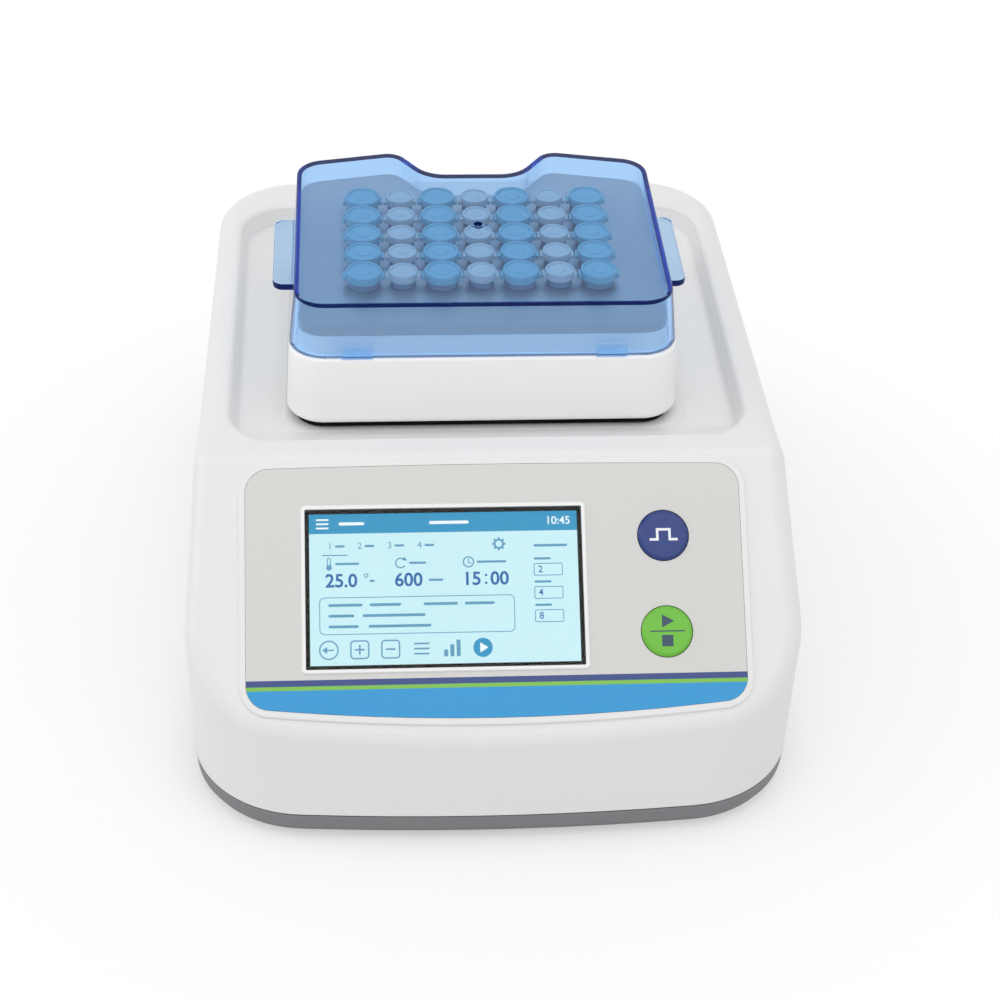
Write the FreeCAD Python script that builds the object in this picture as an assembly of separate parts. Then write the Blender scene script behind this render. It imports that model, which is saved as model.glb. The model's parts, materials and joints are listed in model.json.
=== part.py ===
import FreeCAD, Part
import math
import os
from FreeCAD import Placement, Rotation, Vector

os.makedirs("parts", exist_ok=True)

# Heating, cooling and shaking dry block for small tubes.
# Millimetres, +X to the user's right, +Y to the rear, +Z up.
# The origin is on the bench, under the middle of the housing.

# Housing
body_depth = 284.5
front_half_width = 112.0
rear_narrowing = 8.5
front_corner = 42.0
deck_corner = 12.0
rear_corner = 32.0
hip_setback = 92.0
hip_narrowing = 6.2
hip_reach = 20.0
front_bow = 2.6
bow_flat = 1.5
front_draft = 10.0
housing_wall = 3.0
rim_height = 111.5
rim_round = 7.0
foot_height = 3.0
base_band = 9.0
panel_tilt = 42.0
panel_setback = 46.0
panel_drop = 32.5
panel_break_round = 8.0
moulded_round = 1.0
edge_round = 0.5

# Well round the block
well_depth = 9.0
well_side_rim = 9.5
well_rear_gap = 23.5
well_corner = 20.0
well_draft = 1.5
well_round = 2.4
round_steps = 3
well_ramp = 17.0
well_ramp_end = 62.0
plinth_rise = 0.6
plinth_margin = 3.0

# Control panel
frame_side_margin = 21.6
frame_top = 46.4
frame_bottom = -48.0
frame_rise = 1.0
frame_border = 2.4
frame_round = 0.6
panel_corner = 11.0
frame_top_bow = 0.8
frame_bottom_bow = 4.3
overlay_thickness = 0.6
screen_centre_x = -18.0
screen_width = 95.0
screen_height = 53.9
screen_border = 1.2
bezel_width = 1.7
bezel_rise = 0.7
glass_thickness = 1.8
display_margin = 4.5
display_thickness = 4.0
board_thickness = 1.6
board_setback = 11.0
key_column_x = 60.0
key_row_offset = 17.2
key_diameter = 18.0
key_rise = 2.0
key_travel = 0.7
key_flange = 1.5
key_clearance = 0.3

# Orbit drive
block_setback = 168.2
orbit_radius = 1.5
shaft_diameter = 6.0
crank_pin_diameter = 8.0
idler_pin_diameter = 6.0
hub_diameter = 26.0
hub_thickness = 4.8
running_fit = 0.05
shaft_gap = 1.0
motor_diameter = 50.0
motor_clearance = 4.5
drive_drop = 61.5
drive_plate_thickness = 6.0
drive_half_width = 62.0
drive_half_depth = 46.0
leg_diameter = 11.0
leg_inset = 8.0
window_corner = 3.0
drive_window_x = 38.4
drive_window_y = 31.3
table_window_y = 6.0
table_gap = 0.4
table_thickness = 8.0
crank_bearing_diameter = 22.0
idler_bearing_diameter = 15.0
bearing_width = 7.0
bearing_ledge = 1.5
idler_x = 46.0
idler_front_y = -31.0
idler_rear_y = 33.0
idler_hub_diameter = 14.0
counterweight_radius = 23.0
counterweight_angle = 150.0
shaft_depth = 11.0
leg_foot_diameter = 16.0
leg_foot_height = 4.0
post_diameter = 8.0
post_inset = 8.0

# Heating and cooling stack
sink_half_width = 60.0
sink_half_depth = 44.0
sink_base = 6.0
sink_corner = 2.0
fin_height = 19.0
fin_thickness = 1.6
fin_pitch = 6.0
fin_field = 84.0
peltier_size = 40.0
peltier_thickness = 3.8
peltier_spacing = 48.0
plate_half_width = 56.0
plate_half_depth = 40.0
plate_corner = 6.0
opening_gap = 2.5
clamp_x = 51.0
clamp_y = 21.0
sensor_diameter = 4.0
sensor_length = 16.0
sensor_reach = 4.0
sensor_height = 3.0
ceramic_thickness = 0.8
core_inset = 1.0

# Tube block, cover and lid
skirt_gap = 0.6
skirt_height = 2.6
skirt_inset = 3.2
cover_half_width = 72.4
cover_half_depth = 60.6
cover_corner = 14.0
cover_height = 27.2
cover_draft = 1.7
cover_wall = 2.5
cover_foot_round = 2.5
cover_shoulder_round = 1.0
neck_height = 7.5
neck_wall = 1.8
block_clearance = 0.4
flange_thickness = 4.0
lid_half_width = 68.4
lid_front = -55.4
lid_horn_y = 58.0
lid_horn_x = 29.5
lid_shoulder_y = 50.0
lid_notch_y = 39.8
lid_notch_x = 17.5
lid_corner = 11.0
lid_horn_round = 8.0
lid_notch_round = 13.0
lid_height = 21.5
lid_flare = 2.3
lid_wall = 2.0
lid_plate = 2.4
lid_edge_round = 0.9
lid_clearance = 0.4
ear_length = 48.4
ear_shift = 1.2
ear_round = 0.7
ear_reach = 8.6
ear_thickness = 2.6
ear_drop = 11.5
ear_corner = 4.0
vent_diameter = 3.4
vent_ring = 5.2
vent_rise = 0.4
clip_width = 11.0
clip_x = 46.0
clip_height = 4.5
clip_depth = 1.2
clip_tip = 0.2

# Tubes
columns = 7
rows = 5
column_pitch = 14.4
row_pitch = 13.8
tube_clearance = 0.25
large_tube_diameter = 10.4
large_collar_diameter = 12.0
large_cap_diameter = 13.4
large_tube_length = 35.0
large_tube_taper = 17.0
small_tube_diameter = 7.4
small_collar_diameter = 9.2
small_cap_diameter = 10.8
small_tube_length = 28.0
small_tube_taper = 15.0
tube_tip_diameter = 3.6
collar_height = 2.7
cap_thickness = 3.3
tab_reach = 0.9
tab_width = 4.0

# Base, boards and rear fittings
base_floor = 2.5
base_inset = 2.0
base_lip = 2.0
lip_clearance = 0.3
seam_groove = 0.5
foot_diameter = 15.0
foot_inset_x = 26.0
foot_inset_y = 26.0
screw_diameter = 3.0
screw_head_diameter = 5.6
screw_head_height = 1.8
screw_boss_diameter = 9.0
boss_gap = 0.3
vent_slot_width = 3.0
base_slot_length = 44.0
base_slot_count = 7
base_slot_pitch = 9.0
main_board_half_width = 66.0
main_board_depth = 74.0
main_board_setback = 111.0
board_corner = 2.0
standoff_height = 8.0
standoff_diameter = 7.0
chip_size = 18.0
chip_height = 1.8
driver_length = 10.0
driver_height = 2.4
capacitor_diameter = 8.0
capacitor_height = 11.0
connector_length = 12.0
connector_height = 7.0
board_part_pitch = 16.0
connector_row = 28.8
transformer_size = 22.0
transformer_height = 20.0
bobbin_reach = 1.0
bobbin_inset = 3.0
bobbin_height = 15.0
reservoir_diameter = 13.0
reservoir_height = 24.0
reservoir_start = 6.4
reservoir_pitch = 14.0
reservoir_side = 6.0
cooler_length = 24.0
cooler_height = 22.0
cooler_fins = 5
supply_length = 78.0
supply_width = 30.0
supply_centre_x = -5.0
supply_setback = 40.0
inlet_x = -52.0
inlet_z = 38.0
inlet_flange_width = 31.0
inlet_flange_height = 34.0
inlet_socket_width = 24.0
inlet_socket_height = 16.5
inlet_depth = 21.0
inlet_back = 3.0
inlet_rib = 1.5
inlet_lip = 1.6
pin_width = 2.0
pin_height = 4.0
pin_spacing = 7.0
pin_recess = 3.0
pin_stagger = 2.0
flange_rise = 2.0
fuse_height = 7.0
fuse_gap = 0.3
switch_x = -16.0
switch_width = 15.0
switch_height = 21.0
switch_depth = 17.0
switch_tilt = 10.0
switch_rim = 2.0
rocker_rise = 2.4
rocker_dish = 1.2
rocker_depth = 6.0
pivot_depth = 3.0
pivot_diameter = 2.4
fan_side_gap = 65.5
fan_z = 50.0
fan_size = 60.0
fan_thickness = 15.0
fan_hub_diameter = 25.0
fan_blades = 7
fan_tip_gap = 1.0
fan_axle_diameter = 3.0
fan_blade_thickness = 1.2
fan_blade_chord = 7.5
fan_root_pitch = 48.0
fan_tip_pitch = 30.0
fan_spoke_width = 4.0
fan_spoke_depth = 3.0
grille_slots = 9
grille_pitch = 5.6

# Places that follow from the sizes above
front_y = -body_depth / 2
rear_y = body_depth / 2
hip_y = front_y + hip_setback
hip_half_width = front_half_width - hip_narrowing
rear_half_width = front_half_width - rear_narrowing
bow_reach = front_half_width - front_corner - bow_flat
bow_slope = 2 * front_bow / bow_reach
side_lean = (front_half_width - hip_half_width) / (hip_setback + front_bow - bow_slope * front_half_width)
rear_lean = (hip_half_width - rear_half_width) / (rear_y - hip_y)
hip_radius = hip_reach / math.tan((math.atan(side_lean) - math.atan(rear_lean)) / 2)
form_top = rim_height + base_band
seam_height = foot_height + base_band
panel_y = front_y + panel_setback
panel_height = rim_height - panel_drop
frame_half_width = front_half_width - frame_side_margin
tilt = math.radians(panel_tilt)
well_floor = rim_height - well_depth
well_half_width = rear_half_width - well_side_rim
block_y = front_y + block_setback
plinth_top = well_floor + plinth_rise
skirt_bottom = plinth_top + skirt_gap
block_bottom = skirt_bottom + skirt_height
shoulder_height = block_bottom + cover_height
neck_top = shoulder_height + neck_height
block_top = neck_top + flange_thickness
lid_top = shoulder_height + lid_height
drive_plate_top = rim_height - drive_drop
hub_bottom = drive_plate_top + table_gap
hub_top = hub_bottom + hub_thickness
table_bottom = hub_top + table_gap
table_top = table_bottom + table_thickness
sink_bottom = table_top + fin_height + 2 * table_gap
sink_top = sink_bottom + sink_base
plate_bottom = sink_top + peltier_thickness
pan_floor = foot_height + base_floor
motor_length = drive_plate_top - drive_plate_thickness - pan_floor - motor_clearance
key_back = -housing_wall - key_clearance - key_flange
main_board_rear = front_y + main_board_setback
supply_centre_y = rear_y - supply_setback
fan_x = rear_half_width - fan_side_gap


def place(shape, x=0.0, y=0.0, z=0.0, rotation=Rotation()):
    """Copy of a shape, turned and then moved."""
    moved = shape.copy()
    moved.Placement = Placement(Vector(x, y, z), rotation).multiply(moved.Placement)
    return moved


def on_panel(shape):
    """Shape drawn flat, laid on the sloping panel with its +Z out of the panel."""
    return place(shape, 0, panel_y, panel_height, Rotation(Vector(1, 0, 0), panel_tilt))


def on_table(shape):
    """Shape drawn about the tube block's own axis, set at the orbit's rest place."""
    return place(shape, -orbit_radius, block_y, 0)


def joined(shapes):
    """One solid from overlapping shapes."""
    return shapes[0].multiFuse(shapes[1:]).removeSplitter()


def rounded_wire(corners, height=0.0):
    """Closed outline through corners (x, y, radius), each rounded by a tangent arc."""
    count = len(corners)
    spans = []
    for i, (x, y, radius) in enumerate(corners):
        here = Vector(x, y, height)
        before = Vector(corners[i - 1][0], corners[i - 1][1], height) - here
        after = Vector(corners[(i + 1) % count][0], corners[(i + 1) % count][1], height) - here
        before.normalize()
        after.normalize()
        half = before.getAngle(after) / 2
        inward = before + after
        inward.normalize()
        reach = radius / math.tan(half)
        middle = here + inward * (radius / math.sin(half) - radius)
        spans.append((here + before * reach, middle, here + after * reach))
    edges = []
    for i, (start, middle, end) in enumerate(spans):
        following = spans[(i + 1) % count][0]
        if corners[i][2] > 0:
            edges.append(Part.Arc(start, middle, end).toShape())
        if (following - end).Length > 1e-6:
            edges.append(Part.LineSegment(end, following).toShape())
    return Part.Wire(edges)


def grown(corners, by):
    """The outline with every side moved outwards; corners run anticlockwise."""
    count = len(corners)
    result = []
    for i, (x, y, radius) in enumerate(corners):
        first = Vector(x - corners[i - 1][0], y - corners[i - 1][1], 0).normalize()
        second = Vector(corners[(i + 1) % count][0] - x, corners[(i + 1) % count][1] - y, 0).normalize()
        turn = first.x * second.y - first.y * second.x
        out_first = Vector(first.y, -first.x, 0)
        out_second = Vector(second.y, -second.x, 0)
        shift = (out_first + out_second) * (by / (1 + out_first.dot(out_second)))
        rounding = radius + by * math.copysign(1.0, turn)
        result.append((x + shift.x, y + shift.y, max(rounding, 0.0) if radius else 0.0))
    return result


def prism(corners, low, high):
    """Upright solid of an outline."""
    return Part.Face(rounded_wire(corners, low)).extrude(Vector(0, 0, high - low))


def taper(low_corners, low, high_corners, high):
    """Solid with straight sloping walls from one outline to another."""
    return Part.makeLoft([rounded_wire(low_corners, low), rounded_wire(high_corners, high)], True, True)


def across(corners, half_width):
    """Solid of a side profile in (y, z), running across X."""
    return place(prism(corners, -half_width, half_width), rotation=Rotation(Vector(1, 1, 1), 120))


def rectangle(half_width, half_depth, radius=0.0, x=0.0, y=0.0):
    """Corners of a rounded rectangle, anticlockwise."""
    signs = ((1, 1), (-1, 1), (-1, -1), (1, -1))
    return [(x + sx * half_width, y + sy * half_depth, radius) for sx, sy in signs]


def corners_of(half_width, half_depth):
    """The four corners of a rectangle about the origin."""
    return [(sx * half_width, sy * half_depth) for sx in (1, -1) for sy in (1, -1)]


def cylinder(diameter, low, high, x=0.0, y=0.0):
    """Upright round bar."""
    return Part.makeCylinder(diameter / 2, high - low, Vector(x, y, low))


def ring(outer, inner, low, high, x=0.0, y=0.0):
    """Upright tube."""
    return cylinder(outer, low, high, x, y).cut(cylinder(inner, low, high, x, y))


def revolved(profile):
    """Solid of revolution about Z from (radius, height) points."""
    points = [Vector(r, 0, z) for r, z in profile]
    return Part.Face(Part.makePolygon(points + points[:1])).revolve(Vector(), Vector(0, 0, 1), 360)


def facing_up(face):
    """Whether a face looks upwards, as the rim and the panel do."""
    low_u, high_u, low_v, high_v = face.ParameterRange
    return face.normalAt((low_u + high_u) / 2, (low_v + high_v) / 2).z > 0.5


def border_edges(shape, chosen):
    """Edges between a chosen face and one that isn't chosen."""
    result = []
    for edge in shape.Edges:
        flags = [chosen(face) for face in shape.ancestorsOfType(edge, Part.Face)]
        if any(flags) and not all(flags):
            result.append(edge)
    return result


def housing_outline(rise=0.0):
    """Plan of the housing at a height above the seam: the front leans back and its corners get sharper."""
    corner = front_corner + (deck_corner - front_corner) * rise / (form_top - seam_height)
    peak = front_y - front_bow + rise * math.tan(math.radians(front_draft))
    half_width = (hip_half_width + side_lean * (hip_y - peak)) / (1 + side_lean * bow_slope)
    side = peak + bow_slope * half_width
    return [
        (rear_half_width, rear_y, rear_corner),
        (-rear_half_width, rear_y, rear_corner),
        (-hip_half_width, hip_y, hip_radius),
        (-half_width, side, corner),
        (0.0, peak, bow_reach / bow_slope),
        (half_width, side, corner),
        (hip_half_width, hip_y, hip_radius),
    ]


def housing_form(inset):
    """Outer form of the housing, or its hollow when set in by the wall."""
    low = grown(housing_outline(), -inset)
    high = grown(housing_outline(form_top - seam_height), -inset)
    ceiling = rim_height - inset
    lift = panel_height - inset / math.cos(tilt)
    break_y = panel_y + (ceiling - lift) / math.tan(tilt)
    front_end = front_y - body_depth
    front_top = lift + (front_end - panel_y) * math.tan(tilt)
    profile = [
        (rear_y + body_depth, front_top - body_depth, 0.0),
        (rear_y + body_depth, ceiling, 0.0),
        (break_y, ceiling, panel_break_round),
        (front_end, front_top, 0.0),
        (front_end, front_top - body_depth, 0.0),
    ]
    return taper(low, seam_height, high, form_top).common(across(profile, body_depth))


def well_sections(low, high):
    """Height and outward shift of the well's wall: round foot, drafted side and round lip."""
    turns = [math.pi / 2 * step / round_steps for step in range(round_steps + 1)]
    foot = []
    lip = []
    for turn in turns:
        across_arc = well_round * (1 - math.sin(turn))
        along_arc = well_round * (1 - math.cos(turn))
        foot.append((low + along_arc, -well_draft - across_arc))
        lip.append((high - across_arc, along_arc))
    return foot + lip


def well_form(grow):
    """The recess round the block, ramped at the front; grown to get the wall under it."""
    ramp_start = panel_y + well_ramp_end - well_ramp - grow
    floor = well_floor - grow
    rear = rear_y - well_rear_gap
    depth = (rear - ramp_start) / 2
    outline = rectangle(well_half_width, depth, well_corner, 0, rear - depth)
    sections = well_sections(floor, rim_height)
    wires = [rounded_wire(grown(outline, grow + shift), height) for height, shift in sections]
    profile = [
        (rear + body_depth, floor, 0.0),
        (rear + body_depth, rim_height, 0.0),
        (ramp_start, rim_height, 0.0),
        (ramp_start + well_ramp, floor, well_ramp),
    ]
    return Part.makeLoft(wires, True, True).common(across(profile, body_depth))


def panel_outline(half_width, top, bottom, radius):
    """Panel shape with gently bowed top and bottom edges."""
    top_slope = 2 * frame_top_bow / half_width
    bottom_slope = 2 * frame_bottom_bow / half_width
    reach = half_width - 1.5 * radius
    return [
        (half_width, top - frame_top_bow, radius),
        (0.0, top + frame_top_bow, reach / top_slope),
        (-half_width, top - frame_top_bow, radius),
        (-half_width, bottom + frame_bottom_bow, radius),
        (0.0, bottom - frame_bottom_bow, reach / bottom_slope),
        (half_width, bottom + frame_bottom_bow, radius),
    ]


def key_places():
    """Centres of the two keys on the panel, upper one first."""
    return [(key_column_x, key_row_offset), (key_column_x, -key_row_offset)]


def screen_rectangle(margin, radius=0.0):
    """Outline round the picture area."""
    half_width = screen_width / 2 + margin
    half_height = screen_height / 2 + margin
    return rectangle(half_width, half_height, radius, screen_centre_x, 0.0)


def panel_cutters(clearance):
    """Screen window and key holes, right through the panel."""
    depth = 4 * housing_wall
    tools = [prism(screen_rectangle(screen_border + clearance), -depth, depth)]
    for x, y in key_places():
        tools.append(cylinder(key_diameter + 2 * clearance, -depth, depth, x, y))
    return tools


def board_holes():
    """Fixing places of the display board, in the panel's plane."""
    return corners_of(frame_half_width - panel_corner, screen_height / 2 + 2 * display_margin)


def corner_bosses():
    """Places of the four screws that hold base and housing together."""
    reach = housing_wall + screw_boss_diameter / 2 - boss_gap
    rear = (rear_half_width + rear_lean * rear_corner - reach, rear_y - rear_corner)
    front = (front_half_width - side_lean * front_corner - reach, front_y + front_corner)
    return [(side * x, y) for x, y in (rear, front) for side in (1, -1)]


def rear_cutters():
    """Cut-outs of the rear wall for the inlet, the switch and the fan's air."""
    deep = rear_y - 3 * housing_wall
    tools = []
    for x, width, height in (
        (inlet_x, inlet_flange_width - 2 * inlet_lip, inlet_flange_height - 2 * inlet_lip),
        (switch_x, switch_width, switch_height),
    ):
        corner = Vector(x - width / 2, deep, inlet_z - height / 2)
        tools.append(Part.makeBox(width, body_depth, height, corner))
    for i in range(grille_slots):
        offset = (i - (grille_slots - 1) / 2) * grille_pitch
        chord = math.sqrt((fan_size / 2 - housing_wall) ** 2 - offset ** 2) - vent_slot_width
        slot = prism(rectangle(vent_slot_width / 2, chord, vent_slot_width / 2), 0, body_depth)
        tools.append(place(slot, fan_x + offset, deep, fan_z, Rotation(Vector(1, 0, 0), -90)))
    return tools


def make_upper_housing():
    """One-piece moulding: rim, well with its opening, sloping panel, bosses and rear cut-outs."""
    outer = housing_form(0.0)
    outer = outer.makeFillet(rim_round, border_edges(outer, facing_up))
    shell = outer.cut(well_form(0.0))
    plinth_foot = rectangle(cover_half_width, cover_half_depth, cover_corner, 0, block_y)
    plinth_foot = grown(plinth_foot, plinth_margin)
    plinth = taper(plinth_foot, well_floor - housing_wall, grown(plinth_foot, -plinth_rise), plinth_top)
    frame_outline = panel_outline(frame_half_width, frame_top, frame_bottom, panel_corner)
    frame = prism(frame_outline, -housing_wall, frame_rise)
    frame = on_panel(frame.makeFillet(frame_round, border_edges(frame, facing_up)))
    hollow = housing_form(housing_wall).cut(well_form(housing_wall))
    shell = joined([shell, plinth, frame]).cut(hollow)
    overlay_seat = prism(grown(frame_outline, -frame_border), frame_rise - overlay_thickness, 2 * frame_rise)
    window = [on_panel(tool) for tool in [overlay_seat] + panel_cutters(key_clearance)]
    swing = orbit_radius + opening_gap
    opening = rectangle(plate_half_width + swing, plate_half_depth + swing, plate_corner + swing, 0, block_y)
    window.append(prism(opening, plate_bottom, rim_height))
    shell = shell.cut(Part.makeCompound(window + rear_cutters()))
    posts = [cylinder(standoff_diameter, -board_setback, -housing_wall / 2, x, y) for x, y in board_holes()]
    bosses = [on_panel(Part.makeCompound(posts))]
    for x, y in corner_bosses():
        boss = cylinder(screw_boss_diameter, pan_floor + boss_gap, well_floor - housing_wall, x, y)
        boss = boss.cut(cylinder(screw_diameter, pan_floor, pan_floor + 5 * screw_diameter, x, y))
        bosses.append(boss.common(joined([housing_form(housing_wall / 2), base_hollow(lip_clearance)])))
    fan_ring = ring(fan_size, fan_size - 2 * housing_wall, 0, housing_wall)
    fan_seat = place(fan_ring, fan_x, rear_y - housing_wall / 2, fan_z, Rotation(Vector(1, 0, 0), 90))
    return joined([shell, fan_seat] + [boss for group in bosses for boss in group.Solids])


def base_hollow(clearance):
    """Space inside the base's lip."""
    outline = grown(housing_outline(), -(housing_wall + base_lip + lip_clearance + clearance))
    return prism(outline, pan_floor, seam_height + housing_wall)


def make_base_pan():
    """Grey tray with a locating lip, bosses, air slots and screw holes."""
    outline = housing_outline()
    tray = taper(grown(outline, -base_inset), foot_height, outline, seam_height - seam_groove)
    neck = prism(grown(outline, -seam_groove), pan_floor, seam_height)
    lip_inset = housing_wall + lip_clearance
    lip_foot = grown(outline, -lip_inset)
    lip_edge = grown(housing_outline(base_lip), -lip_inset)
    lip = taper(lip_foot, seam_height, lip_edge, seam_height + base_lip)
    tray = joined([tray, neck, lip]).cut(base_hollow(0.0))
    bosses = []
    for x, y in main_board_holes() + supply_holes():
        low = pan_floor - base_floor / 2
        bosses.append(cylinder(standoff_diameter, low, pan_floor + standoff_height, x, y))
    tray = joined([tray] + bosses)
    cuts = []
    for i in range(base_slot_count):
        x = (i - (base_slot_count - 1) / 2) * base_slot_pitch
        slot = rectangle(vent_slot_width / 2, base_slot_length / 2, vent_slot_width / 2, x, block_y)
        cuts.append(prism(slot, 0, pan_floor + base_floor))
    for x, y in corner_bosses():
        cuts.append(cylinder(screw_diameter + 2 * boss_gap, 0, seam_height, x, y))
        seat = foot_height + screw_head_height / 2
        cuts.append(cylinder(screw_head_diameter + 2 * boss_gap, 0, seat, x, y))
        cuts.append(cylinder(screw_boss_diameter + 2 * lip_clearance, seam_height, rim_height, x, y))
    return tray.cut(Part.makeCompound(cuts))


def make_feet():
    """Four turned rubber feet with a rounded foot edge."""
    radius = foot_diameter / 2
    edge = foot_height / 3
    foot = revolved([(0, 0), (radius - edge, 0), (radius, edge), (radius, foot_height), (0, foot_height)])
    places = []
    for sx in (1, -1):
        places.append((sx * (rear_half_width - foot_inset_x), rear_y - foot_inset_y))
        places.append((sx * (front_half_width - foot_inset_x), front_y + foot_inset_y))
    return Part.makeCompound([place(foot, x, y, 0) for x, y in places])


def screw(length):
    """Pan-head screw pointing up, its head's seat at zero."""
    head = cylinder(screw_head_diameter, -screw_head_height, 0)
    return joined([head, cylinder(screw_diameter - 2 * running_fit, -screw_head_height / 2, length)])


def make_base_screws():
    """Screws from below through the tray into the housing's bosses."""
    seat = foot_height + screw_head_height / 2
    body = screw(pan_floor - seat + 4 * screw_diameter)
    return Part.makeCompound([place(body, x, y, seat) for x, y in corner_bosses()])


def make_control_overlay():
    """Printed film in its seat, with the screen window and two key holes."""
    outline = panel_outline(frame_half_width, frame_top, frame_bottom, panel_corner)
    sheet = prism(grown(outline, -frame_border - boss_gap / 2), frame_rise - overlay_thickness, frame_rise)
    return on_panel(sheet.cut(Part.makeCompound(panel_cutters(key_clearance))))


def make_screen_bezel():
    """Thin raised frame round the screen, on the film."""
    outline = screen_rectangle(screen_border + bezel_width, bezel_width)
    inner = screen_rectangle(screen_border + key_clearance, bezel_width / 3)
    frame = prism(outline, frame_rise, frame_rise + bezel_rise)
    frame = frame.makeChamfer(bezel_rise / 2, border_edges(frame, facing_up))
    return on_panel(frame.cut(prism(inner, 0, 2 * frame_rise + bezel_rise)))


def make_touch_glass():
    """Touch glass standing in the panel's window."""
    outline = screen_rectangle(screen_border, bezel_width / 3)
    glass = prism(outline, frame_rise - glass_thickness, frame_rise)
    return on_panel(glass.makeChamfer(bezel_rise / 3, border_edges(glass, facing_up)))


def make_display_module():
    """Display: its lit pane behind the glass and its metal frame behind the panel wall."""
    pane = prism(screen_rectangle(0.0), -housing_wall - boss_gap, frame_rise - glass_thickness)
    edge = screen_rectangle(display_margin, bezel_width)
    frame = prism(edge, -housing_wall - display_thickness, -housing_wall)
    return on_panel(joined([pane, frame]))


def make_display_board():
    """Board behind the panel that carries the key switches and holds the display."""
    half_width = frame_half_width - panel_corner + standoff_diameter
    half_height = screen_height / 2 + 2 * display_margin + standoff_diameter / 2
    sheet = rectangle(half_width, half_height, display_margin)
    board = prism(sheet, -board_setback - board_thickness, -board_setback)
    pad = screen_rectangle(display_margin / 2, bezel_width)
    foam = prism(pad, -board_setback, -housing_wall - display_thickness)
    return on_panel(joined([board, foam]))


def make_key_switches():
    """Two tact switches on the display board under the keys."""
    side = key_diameter / 3
    bodies = []
    for x, y in key_places():
        stem_end = key_back - key_travel - key_clearance / 2
        body = prism(rectangle(side / 2, side / 2, edge_round, x, y), -board_setback, stem_end - key_travel)
        bodies.append(joined([body, cylinder(side / 2, stem_end - 2 * key_travel, stem_end, x, y)]))
    return on_panel(Part.makeCompound(bodies))


def make_key(number):
    """Round key: crowned cap through the panel and a flange that keeps it in."""
    x, y = key_places()[number]
    radius = key_diameter / 2
    flange = radius + 2 * key_flange
    edge = key_rise / 2
    profile = [
        (0, key_back),
        (flange, key_back),
        (flange, key_back + key_flange),
        (radius, key_back + key_flange),
        (radius, key_rise - edge),
        (radius - edge, key_rise),
        (0, key_rise),
    ]
    return on_panel(place(revolved(profile), x, y, 0))


def main_board_holes():
    """Fixing places of the main board."""
    inset = standoff_diameter
    rear = main_board_rear - inset
    front = main_board_rear - main_board_depth + inset
    x = main_board_half_width - inset
    return [(x, rear), (-x, rear), (x, front), (-x, front)]


def supply_holes():
    """Fixing places of the power supply."""
    x = supply_length / 2 - standoff_diameter
    return [(supply_centre_x + x, supply_centre_y), (supply_centre_x - x, supply_centre_y)]


def make_main_board():
    """Control board with its processor, drivers, capacitors and connectors."""
    low = pan_floor + standoff_height
    top = low + board_thickness
    middle = main_board_rear - main_board_depth / 2
    sheet = rectangle(main_board_half_width, main_board_depth / 2, board_corner, 0, middle)
    chip = rectangle(chip_size / 2, chip_size / 2, edge_round, 0, middle)
    pieces = [prism(sheet, low, top), prism(chip, low, top + chip_height)]
    for i in range(4):
        x = (i - 1.5) * board_part_pitch
        driver_y = middle - board_part_pitch
        driver = rectangle(driver_length / 2, driver_length / 3, edge_round, x, driver_y)
        pieces.append(prism(driver, low, top + driver_height))
        connector_y = middle - connector_row
        connector = rectangle(connector_length / 2, connector_length / 3, edge_round, x, connector_y)
        pieces.append(prism(connector, low, top + connector_height))
        capacitor_y = middle + board_part_pitch
        pieces.append(cylinder(capacitor_diameter, low, top + capacitor_height, x, capacitor_y))
    return joined(pieces)


def make_power_supply():
    """Open-frame supply: board, transformer, reservoir capacitors and a finned cooler."""
    low = pan_floor + standoff_height
    top = low + board_thickness
    x, y = supply_centre_x, supply_centre_y
    half = transformer_size / 2
    pieces = [prism(rectangle(supply_length / 2, supply_width / 2, board_corner, x, y), low, top)]
    core = rectangle(half, half - bobbin_reach, moulded_round, x, y)
    pieces.append(prism(core, low, top + transformer_height))
    bobbin = rectangle(half - bobbin_inset, half + bobbin_reach, bobbin_inset, x, y)
    pieces.append(prism(bobbin, low, top + bobbin_height))
    for i in range(2):
        reservoir_x = x + half + reservoir_start + i * reservoir_pitch
        reservoir_y = y + reservoir_side
        pieces.append(cylinder(reservoir_diameter, low, top + reservoir_height, reservoir_x, reservoir_y))
    cooler_x = x - 2 * half
    spine = rectangle(fin_thickness / 2, cooler_length / 2, 0.0, cooler_x, y)
    pieces.append(prism(spine, low, top + cooler_height))
    for i in range(cooler_fins):
        fin_y = y + (i / (cooler_fins - 1) - 0.5) * (cooler_length - fin_thickness)
        fin = rectangle(3 * fin_thickness, fin_thickness / 2, 0.0, cooler_x, fin_y)
        pieces.append(prism(fin, top + fin_thickness, top + cooler_height))
    return joined(pieces)


def rear_place(shape, x, z, inset=0.0):
    """Shape drawn with +Z as its front, set on the rear wall looking backwards."""
    return place(shape, x, rear_y - inset, z, Rotation(Vector(0, 1, 1), 180))


def inlet_socket_y():
    """Height of the socket's middle over the inlet's middle."""
    return inlet_flange_height / 2 - inlet_lip - fuse_gap - inlet_rib - inlet_socket_height / 2


def fuse_y():
    """Height of the fuse drawer's middle over the inlet's middle."""
    return inlet_socket_y() - inlet_socket_height / 2 - inlet_rib - fuse_height / 2


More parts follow.
